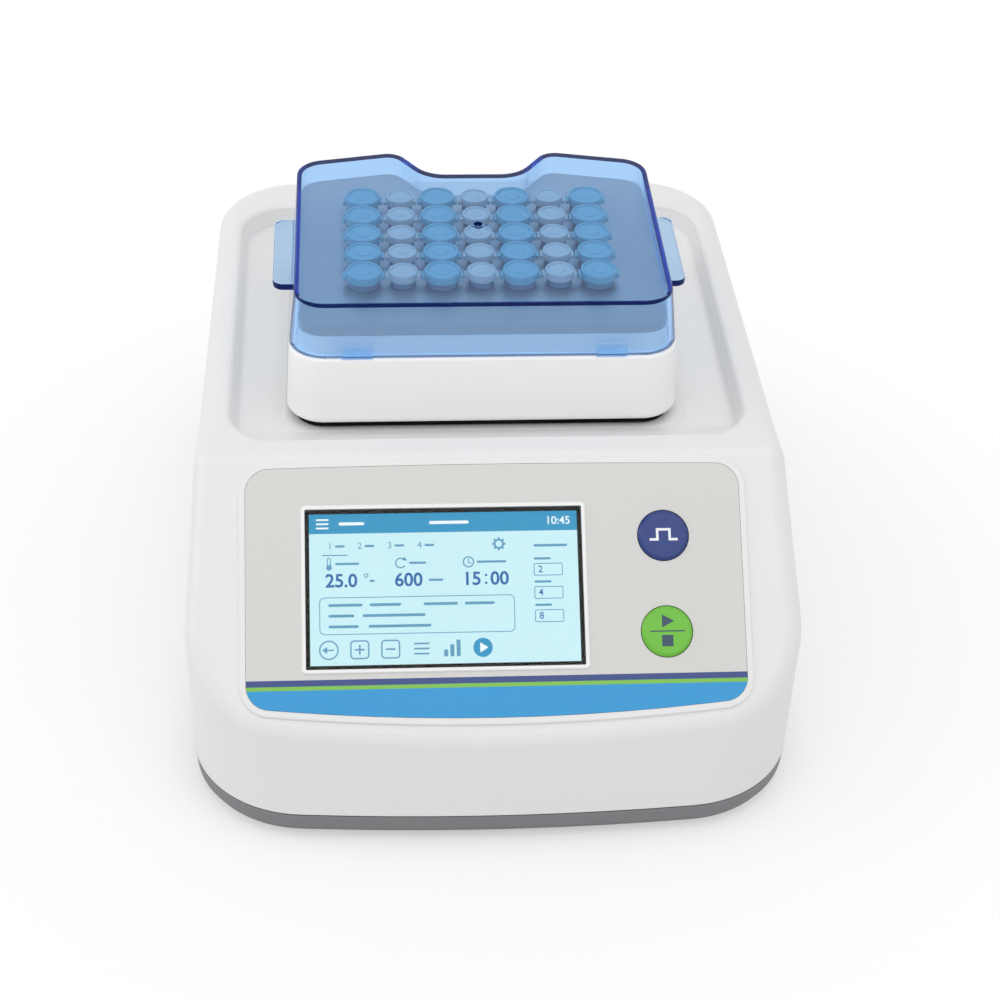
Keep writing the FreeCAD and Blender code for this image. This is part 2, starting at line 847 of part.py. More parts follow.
def make_mains_inlet():
    """Three-pin appliance inlet with a slot for the fuse drawer below the socket."""
    half_width = inlet_flange_width / 2
    half_height = inlet_flange_height / 2
    waist = inlet_lip + fuse_gap
    flange = prism(rectangle(half_width, half_height, housing_wall), 0, flange_rise)
    shell = rectangle(half_width - waist, half_height - waist, moulded_round)
    shell = prism(shell, -inlet_depth, flange_rise)
    side = inlet_socket_width / 2
    low = inlet_socket_y() - inlet_socket_height / 2
    high = inlet_socket_y() + inlet_socket_height / 2
    slope = inlet_socket_height / 4
    socket = [
        (side, low, moulded_round),
        (side, high - slope, moulded_round),
        (side - slope, high, moulded_round),
        (slope - side, high, moulded_round),
        (-side, high - slope, moulded_round),
        (-side, low, moulded_round),
    ]
    back = inlet_back - inlet_depth
    drawer_slot = rectangle(side, fuse_height / 2, 0.0, 0, fuse_y())
    inlet = joined([flange, shell]).cut(prism(socket, back, 2 * flange_rise))
    inlet = inlet.cut(prism(drawer_slot, back, 2 * flange_rise))
    pins = []
    for x, lift in ((0.0, pin_stagger), (pin_spacing, -pin_stagger), (-pin_spacing, -pin_stagger)):
        pin = rectangle(pin_width / 2, pin_height / 2, 0.0, x, inlet_socket_y() + lift)
        pins.append(prism(pin, back - inlet_back / 2, -pin_recess))
    return rear_place(joined([inlet] + pins), inlet_x, inlet_z)


def make_fuse_drawer():
    """Drawer that holds the fuse, with a finger lip at its front."""
    half_width = inlet_socket_width / 2 - fuse_gap
    half_height = fuse_height / 2 - fuse_gap
    back = inlet_back - inlet_depth + fuse_gap
    tray = prism(rectangle(half_width, half_height, edge_round, 0, fuse_y()), back, flange_rise)
    bay = rectangle(half_width - inlet_rib, half_height, 0.0, 0, fuse_y() + inlet_rib)
    tray = tray.cut(prism(bay, back + inlet_rib, -pin_recess))
    grip = rectangle(half_width / 2, half_height / 3, edge_round, 0, fuse_y())
    lip = prism(grip, 0, flange_rise + pin_recess / 3)
    return rear_place(joined([tray, lip]), inlet_x, inlet_z)


def make_switch_body():
    """Snap-in frame of the power switch, open at the front for the rocker."""
    half_width = switch_width / 2
    half_height = switch_height / 2
    flange = prism(rectangle(half_width + switch_rim, half_height + switch_rim, switch_rim), 0, switch_rim)
    waist = rectangle(half_width - fuse_gap, half_height - fuse_gap, moulded_round)
    shell = prism(waist, -switch_depth, switch_rim)
    bay = rectangle(half_width - switch_rim, half_height - inlet_rib, moulded_round)
    bay = prism(bay, -pivot_depth - 2 * rocker_depth, 2 * switch_rim)
    body = joined([flange, shell]).cut(bay)
    pins = []
    for side in (1, -1):
        pin = cylinder(pivot_diameter, 0, 2 * inlet_rib)
        turn = Rotation(Vector(0, 1, 0), -90 * side)
        pins.append(place(pin, side * (half_width - switch_rim / 2), 0, -pivot_depth, turn))
    return rear_place(joined([body] + pins), switch_x, inlet_z)


def make_power_rocker():
    """Rocker with a dished front, resting on its pressed-in upper end."""
    half_width = switch_width / 2 - switch_rim - fuse_gap
    reach = switch_height / 2 - inlet_rib - rocker_dish - 2 * fuse_gap
    back = -pivot_depth - rocker_depth
    profile = [
        (reach / 2, back, moulded_round),
        (reach, rocker_rise, edge_round),
        (0.0, rocker_rise - rocker_dish, 2 * reach),
        (-reach, rocker_rise, edge_round),
        (-reach / 2, back, moulded_round),
    ]
    rocker = across(profile, half_width)
    bore = cylinder(pivot_diameter + 2 * running_fit, -switch_width, switch_width)
    bore = place(bore, 0, 0, -pivot_depth, Rotation(Vector(0, 1, 0), 90))
    rocker = place(rocker.cut(bore), 0, 0, pivot_depth)
    rocker = place(rocker, 0, 0, -pivot_depth, Rotation(Vector(1, 0, 0), -switch_tilt))
    return rear_place(rocker, switch_x, inlet_z)


def fan_place(shape):
    """Shape drawn with +Z to the rear, set against the fan's seat on the rear wall."""
    return rear_place(shape, fan_x, fan_z, 1.5 * housing_wall)


def make_fan_frame():
    """Square fan frame with its bore, spokes and the axle that carries the rotor."""
    half = fan_size / 2
    bore = fan_size - housing_wall
    frame = prism(rectangle(half, half, housing_wall), -fan_thickness, 0)
    frame = frame.cut(cylinder(bore, -fan_thickness, 0))
    spokes = []
    for angle in (0, 90):
        bar = rectangle(bore / 2 + edge_round, fan_spoke_width / 2)
        bar = prism(bar, -fan_thickness, fan_spoke_depth - fan_thickness)
        spokes.append(place(bar, rotation=Rotation(Vector(0, 0, 1), angle + 45)))
    boss = cylinder(fan_hub_diameter, -fan_thickness, fan_spoke_depth - fan_thickness)
    axle = cylinder(fan_axle_diameter, -fan_thickness, -fan_spoke_depth)
    return fan_place(joined([frame, boss, axle] + spokes))


def blade_section(radius, pitch):
    """Blade outline at a radius, tilted by its pitch."""
    section = rounded_wire(rectangle(fan_blade_chord / 2, fan_blade_thickness / 2))
    section = place(section, rotation=Rotation(Vector(0, 0, 1), pitch))
    section = place(section, rotation=Rotation(Vector(1, 1, 1), 120))
    return place(section, radius, 0, (fan_spoke_depth - fan_thickness) / 2)


def make_fan_rotor():
    """Hub cup with pitched blades, bored for the axle."""
    low = fan_spoke_depth - fan_thickness + fan_tip_gap
    high = -fan_tip_gap
    hub = cylinder(fan_hub_diameter, low, high)
    root = fan_hub_diameter / 2 - fan_blade_thickness
    tip = (fan_size - housing_wall) / 2 - fan_tip_gap
    sections = [blade_section(root, fan_root_pitch), blade_section(tip, fan_tip_pitch)]
    blade = Part.makeLoft(sections, True, True)
    turns = [Rotation(Vector(0, 0, 1), 360 * i / fan_blades) for i in range(fan_blades)]
    rotor = joined([hub] + [place(blade, rotation=turn) for turn in turns])
    bore = cylinder(fan_axle_diameter + 2 * running_fit, low, fan_tip_gap - fan_spoke_depth)
    return fan_place(rotor.cut(bore))


def on_drive(shape):
    """Shape drawn about the drive axis."""
    return place(shape, 0, block_y, 0)


def idler_places():
    """The three idlers about the drive axis: left, right and rear."""
    return [(-idler_x, idler_front_y), (idler_x, idler_front_y), (0.0, idler_rear_y)]


def make_drive_motor():
    """Flat brushless motor hung under the drive plate, bored for its shaft."""
    top = drive_plate_top - drive_plate_thickness
    radius = motor_diameter / 2
    low = top - motor_length
    step = motor_length / 8
    bore = shaft_diameter / 2 + running_fit
    profile = [
        (0, low),
        (radius / 2, low),
        (radius / 2, low + step),
        (radius - step / 2, low + step),
        (radius, low + 1.5 * step),
        (radius, top - step),
        (radius - step, top),
        (bore, top),
        (bore, top - shaft_depth),
        (0, top - shaft_depth),
    ]
    return on_drive(revolved(profile))


def make_drive_frame():
    """Bridge plate on four legs that carries the motor and the idlers."""
    low = drive_plate_top - drive_plate_thickness
    plate = prism(rectangle(drive_half_width, drive_half_depth, leg_inset), low, drive_plate_top)
    legs = []
    for x, y in corners_of(drive_half_width - leg_inset, drive_half_depth - leg_inset):
        foot = cylinder(leg_foot_diameter, pan_floor, pan_floor + leg_foot_height, x, y)
        legs += [cylinder(leg_diameter, pan_floor, drive_plate_top, x, y), foot]
    bores = [cylinder(shaft_diameter + 2 * shaft_gap, low, drive_plate_top)]
    for x, y in idler_places():
        bores.append(cylinder(idler_pin_diameter + 2 * running_fit, low, drive_plate_top, x, y))
    window = rectangle(motor_diameter / 3, drive_half_depth / 6, window_corner)
    rear = drive_half_depth / 4
    for x, y in ((0, -drive_window_y), (drive_window_x, rear), (-drive_window_x, rear)):
        bores.append(place(prism(window, low, drive_plate_top), x, y))
    return on_drive(joined([plate] + legs).cut(Part.makeCompound(bores)))


def eccentric(journal_diameter, journal_low, hub, pin_diameter):
    """Turned journal and hub with an offset pin on top."""
    journal = cylinder(journal_diameter, journal_low, hub_bottom + hub_thickness / 2)
    flange = cylinder(hub, hub_bottom, hub_top)
    pin = cylinder(pin_diameter, hub_bottom + hub_thickness / 2, table_top - table_gap, -orbit_radius)
    return joined([journal, flange, pin])


def make_eccentric_shaft():
    """Drive shaft with the crank pin that carries the table."""
    low = drive_plate_top - drive_plate_thickness - shaft_depth + table_gap
    return on_drive(eccentric(shaft_diameter, low, hub_diameter, crank_pin_diameter))


def make_counterweight():
    """Sector on the hub opposite the crank pin, to balance the table."""
    up = Vector(0, 0, 1)
    start = Vector(0, 0, hub_bottom)
    sector = Part.makeCylinder(counterweight_radius, hub_thickness, start, up, counterweight_angle)
    sector = place(sector, rotation=Rotation(up, -counterweight_angle / 2))
    return on_drive(sector.cut(cylinder(hub_diameter, hub_bottom, hub_top)))


def make_idler(number):
    """Idler eccentric that keeps the table from turning."""
    x, y = idler_places()[number]
    low = drive_plate_top - drive_plate_thickness
    return on_drive(place(eccentric(idler_pin_diameter, low, idler_hub_diameter, idler_pin_diameter), x, y))


def bearing(outer, pin):
    """Ball bearing as one ring with a groove in its upper face, between its two races."""
    low = table_top - bearing_width
    middle = (outer + pin) / 2
    width = (outer - pin) / 8
    body = ring(outer, pin + 2 * running_fit, low, table_top)
    groove = ring(middle + width, middle - width, table_top - table_gap, table_top)
    return body.cut(groove)


def make_crank_bearing():
    """Bearing between the crank pin and the table."""
    return on_table(bearing(crank_bearing_diameter, crank_pin_diameter))


def make_idler_bearings():
    """Three bearings between the idlers' pins and the table."""
    one = bearing(idler_bearing_diameter, idler_pin_diameter)
    return on_table(Part.makeCompound([place(one, x, y) for x, y in idler_places()]))


def make_orbit_table():
    """Carrier plate with bearing seats and lightening windows."""
    plate = prism(rectangle(drive_half_width, drive_half_depth, leg_inset), table_bottom, table_top)
    seat = table_top - bearing_width
    cuts = [cylinder(crank_bearing_diameter, seat, table_top)]
    cuts.append(cylinder(crank_bearing_diameter - 2 * bearing_ledge, table_bottom, table_top))
    for x, y in idler_places():
        cuts.append(cylinder(idler_bearing_diameter, seat, table_top, x, y))
        cuts.append(cylinder(idler_bearing_diameter - 2 * bearing_ledge, table_bottom, table_top, x, y))
    for side in (1, -1):
        x = side * drive_half_width / 2
        window = rectangle(drive_half_width / 5, drive_half_depth / 4, window_corner, x, table_window_y)
        cuts.append(prism(window, table_bottom, table_top))
    return on_table(plate.cut(Part.makeCompound(cuts)))


def make_table_posts():
    """Four posts that carry the heat sink over the table."""
    places = corners_of(sink_half_width - post_inset, sink_half_depth - post_inset)
    posts = [cylinder(post_diameter, table_top, sink_bottom, x, y) for x, y in places]
    return on_table(Part.makeCompound(posts))


def clamp_places():
    """Places of the screws that clamp heat sink and plate together."""
    return corners_of(clamp_x, clamp_y)


def clamp_holes(low, high):
    """Clearance holes for the clamp screws."""
    diameter = screw_diameter + 2 * running_fit
    return Part.makeCompound([cylinder(diameter, low, high, x, y) for x, y in clamp_places()])


def make_heat_sink():
    """Extruded heat sink with its fins hanging into the air stream."""
    base = prism(rectangle(sink_half_width, sink_half_depth, sink_corner), sink_bottom, sink_top)
    count = int(fin_field / fin_pitch) + 1
    fins = []
    for i in range(count):
        x = (i - (count - 1) / 2) * fin_pitch
        fin = rectangle(fin_thickness / 2, sink_half_depth, 0.0, x)
        fins.append(prism(fin, sink_bottom - fin_height, sink_bottom + fin_thickness))
    return on_table(joined([base] + fins).cut(clamp_holes(sink_bottom, sink_top)))


def make_clamp_screws():
    """Screws from the heat sink up into the heating plate."""
    body = screw(plate_bottom - sink_bottom + 2 * screw_diameter)
    return on_table(Part.makeCompound([place(body, x, y, sink_bottom) for x, y in clamp_places()]))


def make_peltier_modules():
    """Two thermoelectric modules, each a core between two ceramic plates."""
    half = peltier_size / 2
    modules = []
    for side in (1, -1):
        x = side * peltier_spacing / 2
        lower = prism(rectangle(half, half, 0.0, x), sink_top, sink_top + ceramic_thickness)
        core = prism(rectangle(half - core_inset, half - core_inset, 0.0, x), sink_top, plate_bottom)
        upper = prism(rectangle(half, half, 0.0, x), plate_bottom - ceramic_thickness, plate_bottom)
        modules.append(joined([lower, core, upper]))
    return on_table(Part.makeCompound(modules))


def make_insulation_frame():
    """Foam round the modules, between heat sink and plate."""
    pad = prism(rectangle(plate_half_width, plate_half_depth, plate_corner), sink_top, plate_bottom)
    cuts = [clamp_holes(sink_top, plate_bottom)]
    half = peltier_size / 2 + block_clearance
    for side in (1, -1):
        cuts.append(prism(rectangle(half, half, 0.0, side * peltier_spacing / 2), sink_top, plate_bottom))
    return on_table(pad.cut(Part.makeCompound(cuts)))


def make_heating_plate():
    """Plate that passes through the well's opening and carries the tube block."""
    plate = prism(rectangle(plate_half_width, plate_half_depth, plate_corner), plate_bottom, block_bottom)
    holes = [clamp_holes(plate_bottom, plate_bottom + 3 * screw_diameter), sensor_bar(running_fit)]
    return on_table(plate.cut(Part.makeCompound(holes)))


def sensor_bar(clearance):
    """The temperature sensor's space in the plate's front edge."""
    start = -plate_half_depth - sensor_reach
    bar = cylinder(sensor_diameter + 2 * clearance, 0, sensor_length + clearance)
    return place(bar, 0, start, plate_bottom + sensor_height, Rotation(Vector(1, 0, 0), -90))


def make_plate_sensor():
    """Temperature sensor in the plate's front edge."""
    return on_table(sensor_bar(0.0))


def lid_outline(height):
    """Plan of the lid's outside at a height; its walls flare downwards."""
    corners = [
        (lid_half_width, lid_shoulder_y, lid_corner),
        (lid_horn_x, lid_horn_y, lid_horn_round),
        (lid_notch_x, lid_notch_y, lid_notch_round),
        (-lid_notch_x, lid_notch_y, lid_notch_round),
        (-lid_horn_x, lid_horn_y, lid_horn_round),
        (-lid_half_width, lid_shoulder_y, lid_corner),
        (-lid_half_width, lid_front, lid_corner),
        (lid_half_width, lid_front, lid_corner),
    ]
    return grown(corners, lid_flare * (lid_top - height) / lid_height)


def neck_outline():
    """Outside of the cover's neck, inside the lid."""
    return grown(lid_outline(neck_top), -lid_wall - lid_clearance)


def block_outline():
    """Tube block below its flange, inside the neck."""
    return grown(neck_outline(), -neck_wall - block_clearance)


def cover_outline(height):
    """Outside of the white cover at a height."""
    lean = cover_draft * (height - block_bottom) / cover_height
    return rectangle(cover_half_width - lean, cover_half_depth - lean, cover_corner - lean)


def tube_places():
    """Every tube's place on the block and whether it is a large one."""
    places = []
    for column in range(columns):
        for row in range(rows):
            x = (column - (columns - 1) / 2) * column_pitch
            y = (row - (rows - 1) / 2) * row_pitch
            places.append((x, y, column % 2 == 0))
    return places


def tube_bore(large):
    """Tapered hole that a tube stands in."""
    diameter = large_tube_diameter if large else small_tube_diameter
    length = large_tube_length if large else small_tube_length
    tapered = large_tube_taper if large else small_tube_taper
    radius = diameter / 2 + tube_clearance
    tip = tube_tip_diameter / 2 + tube_clearance
    low = block_top - length - tube_clearance
    high = block_top + collar_height
    return revolved([(0, low), (tip, low), (radius, low + tapered), (radius, high), (0, high)])


def make_tube_block():
    """Aluminium block with a hole for every tube and a flange under the lid."""
    body = prism(block_outline(), block_bottom, block_top)
    flange = prism(grown(lid_outline(block_top), -lid_wall - lid_clearance), neck_top, block_top)
    bores = {large: tube_bore(large) for large in (True, False)}
    holes = [place(bores[large], x, y) for x, y, large in tube_places()]
    return on_table(joined([body, flange]).cut(Part.makeCompound(holes)))


def tube(large):
    """Closed tube: tapered body, collar on the block, cap with its hinge and thumb tab."""
    diameter = large_tube_diameter if large else small_tube_diameter
    collar = (large_collar_diameter if large else small_collar_diameter) / 2
    cap = (large_cap_diameter if large else small_cap_diameter) / 2
    length = large_tube_length if large else small_tube_length
    tapered = large_tube_taper if large else small_tube_taper
    low = block_top - length
    cap_low = block_top + collar_height
    cap_top = cap_low + cap_thickness
    profile = [
        (0, low),
        (tube_tip_diameter / 2, low),
        (diameter / 2, low + tapered),
        (diameter / 2, block_top),
        (collar, block_top),
        (collar, cap_low),
        (cap, cap_low),
        (cap, cap_top - cap_thickness / 4),
        (cap - cap_thickness / 4, cap_top),
        (0, cap_top),
    ]
    tab = prism(rectangle(cap + tab_reach, tab_width / 2), cap_low, cap_low + cap_thickness / 2)
    return joined([revolved(profile), tab])


def make_tubes(large):
    """All tubes of one size."""
    one = tube(large)
    tubes = [place(one, x, y) for x, y, size in tube_places() if size == large]
    return on_table(Part.makeCompound(tubes))


def facing_down(face):
    """Whether a face looks straight down."""
    low_u, high_u, low_v, high_v = face.ParameterRange
    return face.normalAt((low_u + high_u) / 2, (low_v + high_v) / 2).z < -0.9


def make_block_cover():
    """White cover round the block, with the neck that the lid fits over."""
    shoulder = cover_outline(shoulder_height)
    outside = taper(cover_outline(block_bottom), block_bottom, shoulder, shoulder_height)
    outside = outside.makeFillet(cover_foot_round, border_edges(outside, facing_down))
    outside = outside.makeFillet(cover_shoulder_round, border_edges(outside, facing_up))
    low = grown(cover_outline(block_bottom), -cover_wall)
    ceiling = shoulder_height - cover_wall
    hollow = taper(low, block_bottom, grown(cover_outline(ceiling), -cover_wall), ceiling)
    neck = prism(neck_outline(), ceiling, neck_top)
    passage = prism(grown(neck_outline(), -neck_wall), block_bottom, block_top)
    return on_table(joined([outside.cut(hollow), neck]).cut(passage))


def make_block_insulation():
    """Foam jacket between the tube block and the cover."""
    gap = cover_wall + block_clearance
    ceiling = shoulder_height - gap
    low = grown(cover_outline(block_bottom), -gap)
    jacket = taper(low, block_bottom, grown(cover_outline(ceiling), -gap), ceiling)
    return on_table(jacket.cut(prism(grown(block_outline(), block_clearance), block_bottom, ceiling)))


def make_block_skirt():
    """Black plate under the cover that closes the well's opening."""
    plate = prism(grown(cover_outline(block_bottom), -skirt_inset), skirt_bottom, block_bottom)
    hole = rectangle(plate_half_width + boss_gap, plate_half_depth + boss_gap, plate_corner + boss_gap)
    return on_table(plate.cut(prism(hole, skirt_bottom, block_bottom)))


def make_lid():
    """Clear lid with flared walls, rear notch, grip ears, vent and snap clips."""
    outside = taper(lid_outline(shoulder_height), shoulder_height, lid_outline(lid_top), lid_top)
    outside = outside.makeFillet(lid_edge_round, border_edges(outside, facing_up))
    ear_top = lid_top - ear_drop
    reach = lid_half_width + ear_reach
    ears = prism(rectangle(reach, ear_length / 2, ear_corner, 0, ear_shift), ear_top - ear_thickness, ear_top)
    ears = ears.makeFillet(ear_round, border_edges(ears, facing_up) + border_edges(ears, facing_down))
    vent = cylinder(vent_ring, lid_top - lid_plate, lid_top + vent_rise)
    clip_low = shoulder_height + boss_gap
    clip_high = clip_low + clip_height
    foot = lid_front - lid_flare
    head = lid_front - lid_flare * (lid_top - clip_high) / lid_height
    clip = [
        (foot - clip_depth, clip_low, 0.0),
        (lid_front, clip_low, 0.0),
        (lid_front, clip_high, 0.0),
        (head - clip_tip, clip_high, 0.0),
        (foot - clip_depth, clip_low + clip_height / 2, 0.0),
    ]
    clips = [place(across(clip, clip_width / 2), side * clip_x) for side in (1, -1)]
    ceiling = lid_top - lid_plate
    low = grown(lid_outline(shoulder_height), -lid_wall)
    hollow = taper(low, shoulder_height, grown(lid_outline(ceiling), -lid_wall), ceiling)
    shell = joined([outside, ears, vent] + clips).cut(hollow)
    return on_table(shell.cut(cylinder(vent_diameter, ceiling - lid_plate, lid_top + vent_rise)))


pieces = {
    "upper_housing": make_upper_housing(),
    "base_pan": make_base_pan(),
    "rubber_feet": make_feet(),
    "base_screws": make_base_screws(),
    "control_overlay": make_control_overlay(),
    "screen_bezel": make_screen_bezel(),
    "touch_glass": make_touch_glass(),
    "display_module": make_display_module(),
    "display_board": make_display_board(),
    "key_switches": make_key_switches(),
    "pulse_key": make_key(0),
    "start_stop_key": make_key(1),
    "main_board": make_main_board(),
    "power_supply": make_power_supply(),
    "mains_inlet": make_mains_inlet(),
    "fuse_drawer": make_fuse_drawer(),
    "switch_body": make_switch_body(),
    "power_rocker": make_power_rocker(),
    "fan_frame": make_fan_frame(),
    "fan_rotor": make_fan_rotor(),
    "drive_motor": make_drive_motor(),
    "drive_frame": make_drive_frame(),
    "eccentric_shaft": make_eccentric_shaft(),
    "counterweight": make_counterweight(),
    "left_idler": make_idler(0),
    "right_idler": make_idler(1),
    "rear_idler": make_idler(2),
    "crank_bearing": make_crank_bearing(),
    "idler_bearings": make_idler_bearings(),
    "orbit_table": make_orbit_table(),
    "table_posts": make_table_posts(),
    "heat_sink": make_heat_sink(),
    "clamp_screws": make_clamp_screws(),
    "peltier_modules": make_peltier_modules(),
    "insulation_frame": make_insulation_frame(),
    "heating_plate": make_heating_plate(),
    "plate_sensor": make_plate_sensor(),
    "tube_block": make_tube_block(),
    "block_insulation": make_block_insulation(),
    "block_cover": make_block_cover(),
    "block_skirt": make_block_skirt(),
    "large_tubes": make_tubes(True),
    "small_tubes": make_tubes(False),
    "lid": make_lid(),
}
for name, shape in pieces.items():
    shape.exportStep("parts/" + name + ".step")
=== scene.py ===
import json
import math

import bmesh
import bpy
from mathutils import Matrix, Vector
from mathutils.bvhtree import BVHTree


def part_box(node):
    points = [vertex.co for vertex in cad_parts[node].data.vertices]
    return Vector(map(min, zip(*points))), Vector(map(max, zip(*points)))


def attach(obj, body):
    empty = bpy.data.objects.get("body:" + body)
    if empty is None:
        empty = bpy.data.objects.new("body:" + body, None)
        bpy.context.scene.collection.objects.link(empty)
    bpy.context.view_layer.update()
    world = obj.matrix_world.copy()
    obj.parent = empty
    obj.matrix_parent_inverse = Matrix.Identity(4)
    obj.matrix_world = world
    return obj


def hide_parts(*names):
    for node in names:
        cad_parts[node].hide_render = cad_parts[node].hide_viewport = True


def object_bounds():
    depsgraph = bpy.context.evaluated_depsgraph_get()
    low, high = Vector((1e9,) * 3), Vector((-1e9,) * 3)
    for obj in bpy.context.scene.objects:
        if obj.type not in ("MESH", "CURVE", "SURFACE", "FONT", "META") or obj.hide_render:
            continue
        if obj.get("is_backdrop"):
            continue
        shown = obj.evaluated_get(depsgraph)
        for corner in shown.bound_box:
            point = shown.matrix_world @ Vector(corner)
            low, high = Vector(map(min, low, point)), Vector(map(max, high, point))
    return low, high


bl_info = {
    "name": "Shaking dry block",
    "version": (1, 0, 0),
    "blender": (4, 5, 0),
    "location": "View3D > Sidebar > Dry block",
    "description": "Dresses the solids of a heating, cooling and shaking dry block",
    "category": "Object",
}

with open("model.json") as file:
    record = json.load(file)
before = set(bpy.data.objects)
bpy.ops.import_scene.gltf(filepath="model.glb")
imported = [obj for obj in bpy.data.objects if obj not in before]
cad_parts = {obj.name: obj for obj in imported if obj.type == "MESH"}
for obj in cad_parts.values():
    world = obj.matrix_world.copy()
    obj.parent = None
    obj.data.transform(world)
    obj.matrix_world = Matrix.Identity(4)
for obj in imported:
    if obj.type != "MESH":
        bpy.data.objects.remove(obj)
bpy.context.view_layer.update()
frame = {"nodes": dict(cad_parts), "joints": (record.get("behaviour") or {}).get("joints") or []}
solids = frame["nodes"]
MM = 0.001
PREFIX = "dryblock."
CREASE = math.radians(38)
TUBE_STEPS, SCREW_STEPS = 36, 24
WHITE = (1.0, 1.0, 1.0, 1.0)
GRAIN_DEPTH = 0.2 * MM
LINE_DEPTH = 0.1 * MM
SIGN_HEIGHT = 0.04 * MM
WELD = 1e-7
MITRE_LIMIT = 0.25


def screen_colour(red, green, blue):
    """A colour given as it looks on a screen, 0 to 255, turned into light values."""
    values = []
    for part in (red, green, blue):
        share = part / 255.0
        values.append(share / 12.92 if share <= 0.04045 else ((share + 0.055) / 1.055) ** 2.4)
    return tuple(values)


def joint_named(name):
    """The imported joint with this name."""
    return next(joint for joint in frame["joints"] if joint["name"] == name)


def reach(node, way):
    """Lowest and highest place of a node along a direction."""
    places = [way.dot(vertex.co) for vertex in solids[node].data.vertices]
    return min(places), max(places)


def panel_seat():
    """Placement of the printed panel: u across, v up the slope, height out of the film's face."""
    out = -Vector(joint_named("pulse_key_press")["axis"]).normalized()
    across = Vector((1.0, 0.0, 0.0))
    up_slope = out.cross(across).normalized()
    face = reach("control_overlay", out)[1]
    height = 0.5 * sum(reach("touch_glass", up_slope))
    seat = Matrix((across, up_slope, out)).transposed().to_4x4()
    seat.translation = up_slope * height + out * face
    return seat


def rear_seat(x, z):
    """Placement on the rear wall: u to the right from behind, v up, height out of the wall."""
    seat = Matrix(((-1.0, 0.0, 0.0), (0.0, 0.0, 1.0), (0.0, 1.0, 0.0))).transposed().to_4x4()
    seat.translation = (x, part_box("upper_housing")[1].y, z)
    return seat


def surface_of(node):
    """Search tree of a node's faces, for laying marks on it."""
    mesh = solids[node].data
    faces = [face.vertices[:] for face in mesh.polygons]
    return BVHTree.FromPolygons([vertex.co for vertex in mesh.vertices], faces)


def first_hit(surface, start, way):
    """Where a line from outside first meets a surface."""
    place = surface.ray_cast(Vector(start), Vector(way))[0]
    if place is None:
        raise RuntimeError("nothing there to lay a mark on")
    return place


def span(node, axis):
    """Length of a node's box along one axis."""
    low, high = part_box(node)
    return high[axis] - low[axis]


def middle_of(node):
    """Middle of a node's box."""
    low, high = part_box(node)
    return 0.5 * (low + high)


def middle(points):
    """Middle of the box round some points."""
    return Vector([0.5 * (min(axis) + max(axis)) for axis in zip(*points)])


def number(label, note, value, **more):
    """A number that a user may change."""
    return bpy.props.FloatProperty(name=label, description=note, default=value, **more)


def count(label, note, value):
    """A whole number that a user may change."""
    return bpy.props.IntProperty(name=label, description=note, default=value, min=1)


def length(label, note, size):
    """A size that a user may change, in metres."""
    return number(label, note, size, subtype="DISTANCE", unit="LENGTH", precision=5)


def angle(label, note, degrees):
    """An angle that a user may change."""
    return number(label, note, math.radians(degrees), subtype="ANGLE", unit="ROTATION")


def amount(label, note, value):
    """A share that a user may change."""
    return number(label, note, value, min=0.0, max=1.0, subtype="FACTOR")


def power(label, note, watts):
    """A lamp's power that a user may change."""
    return number(label, note, watts, min=0.0, unit="POWER")


def spot(label, note, *place):
    """A place that a user may change."""
    return bpy.props.FloatVectorProperty(
        name=label, description=note, default=place, size=3, subtype="TRANSLATION", unit="LENGTH"
    )


def colour(label, note, *shade):
    """A colour that a user may change, as it looks on a screen."""
    return bpy.props.FloatVectorProperty(
        name=label, description=note, default=screen_colour(*shade), size=3, min=0.0, max=1.0,
        subtype="COLOR",
    )


class DryBlockHousing(bpy.types.PropertyGroup):
    """Colours of the moulded housing and what is under it."""

    shell: colour("Shell", "White moulding of the upper housing", 231, 231, 231)
    tray: colour("Tray", "Grey tray below the seam", 124, 125, 128)
    rubber: colour("Feet", "Rubber of the feet", 34, 34, 36)
    grain: length("Grain", "Size of the moulded grain", 0.0007)


class DryBlockPanel(bpy.types.PropertyGroup):
    """Printed film on the panel: its ground and straight bands."""

    film: colour("Film", "Pale grey ground of the film", 211, 211, 208)
    band: colour("Band", "Wide band along the lower edge", 34, 150, 210)
    navy: colour("Dark stripe", "Dark stripe above the band", 44, 66, 128)
    green: colour("Light stripe", "Green stripe between band and dark stripe", 122, 190, 72)
    band_top: length("Band top", "Upper edge of the band, from the screen's middle", -0.0355)
    green_width: length("Green width", "Width of the green stripe", 0.0013)
    navy_width: length("Dark width", "Width of the dark stripe", 0.0022)
    bezel: colour("Bezel", "White frame round the screen", 240, 240, 240)


class DryBlockScreen(bpy.types.PropertyGroup):
    """Lit picture behind the touch glass."""

    width: length("Width", "Width of the lit picture", 0.095)
    height: length("Height", "Height of the lit picture", 0.0539)
    header: length("Header", "Height of the bar along the top", 0.0070)
    ground: colour("Ground", "Pale ground of the picture", 200, 239, 246)
    bar: colour("Bar", "Bar along the top and filled signs", 44, 148, 194)
    ink: colour("Ink", "Large numbers", 38, 104, 168)
    faint: colour("Faint ink", "Small signs and outlines", 92, 154, 188)
    light: colour("Light ink", "White signs on the bar", 240, 250, 252)
    mask: colour("Mask", "Black printed edge of the glass", 6, 6, 7)
    frame: colour("Frame", "Dark frame of the display", 40, 41, 43)
    glass_index: number("Glass index", "Refraction; a low one mirrors less", 1.2, min=1.0, max=2.0)


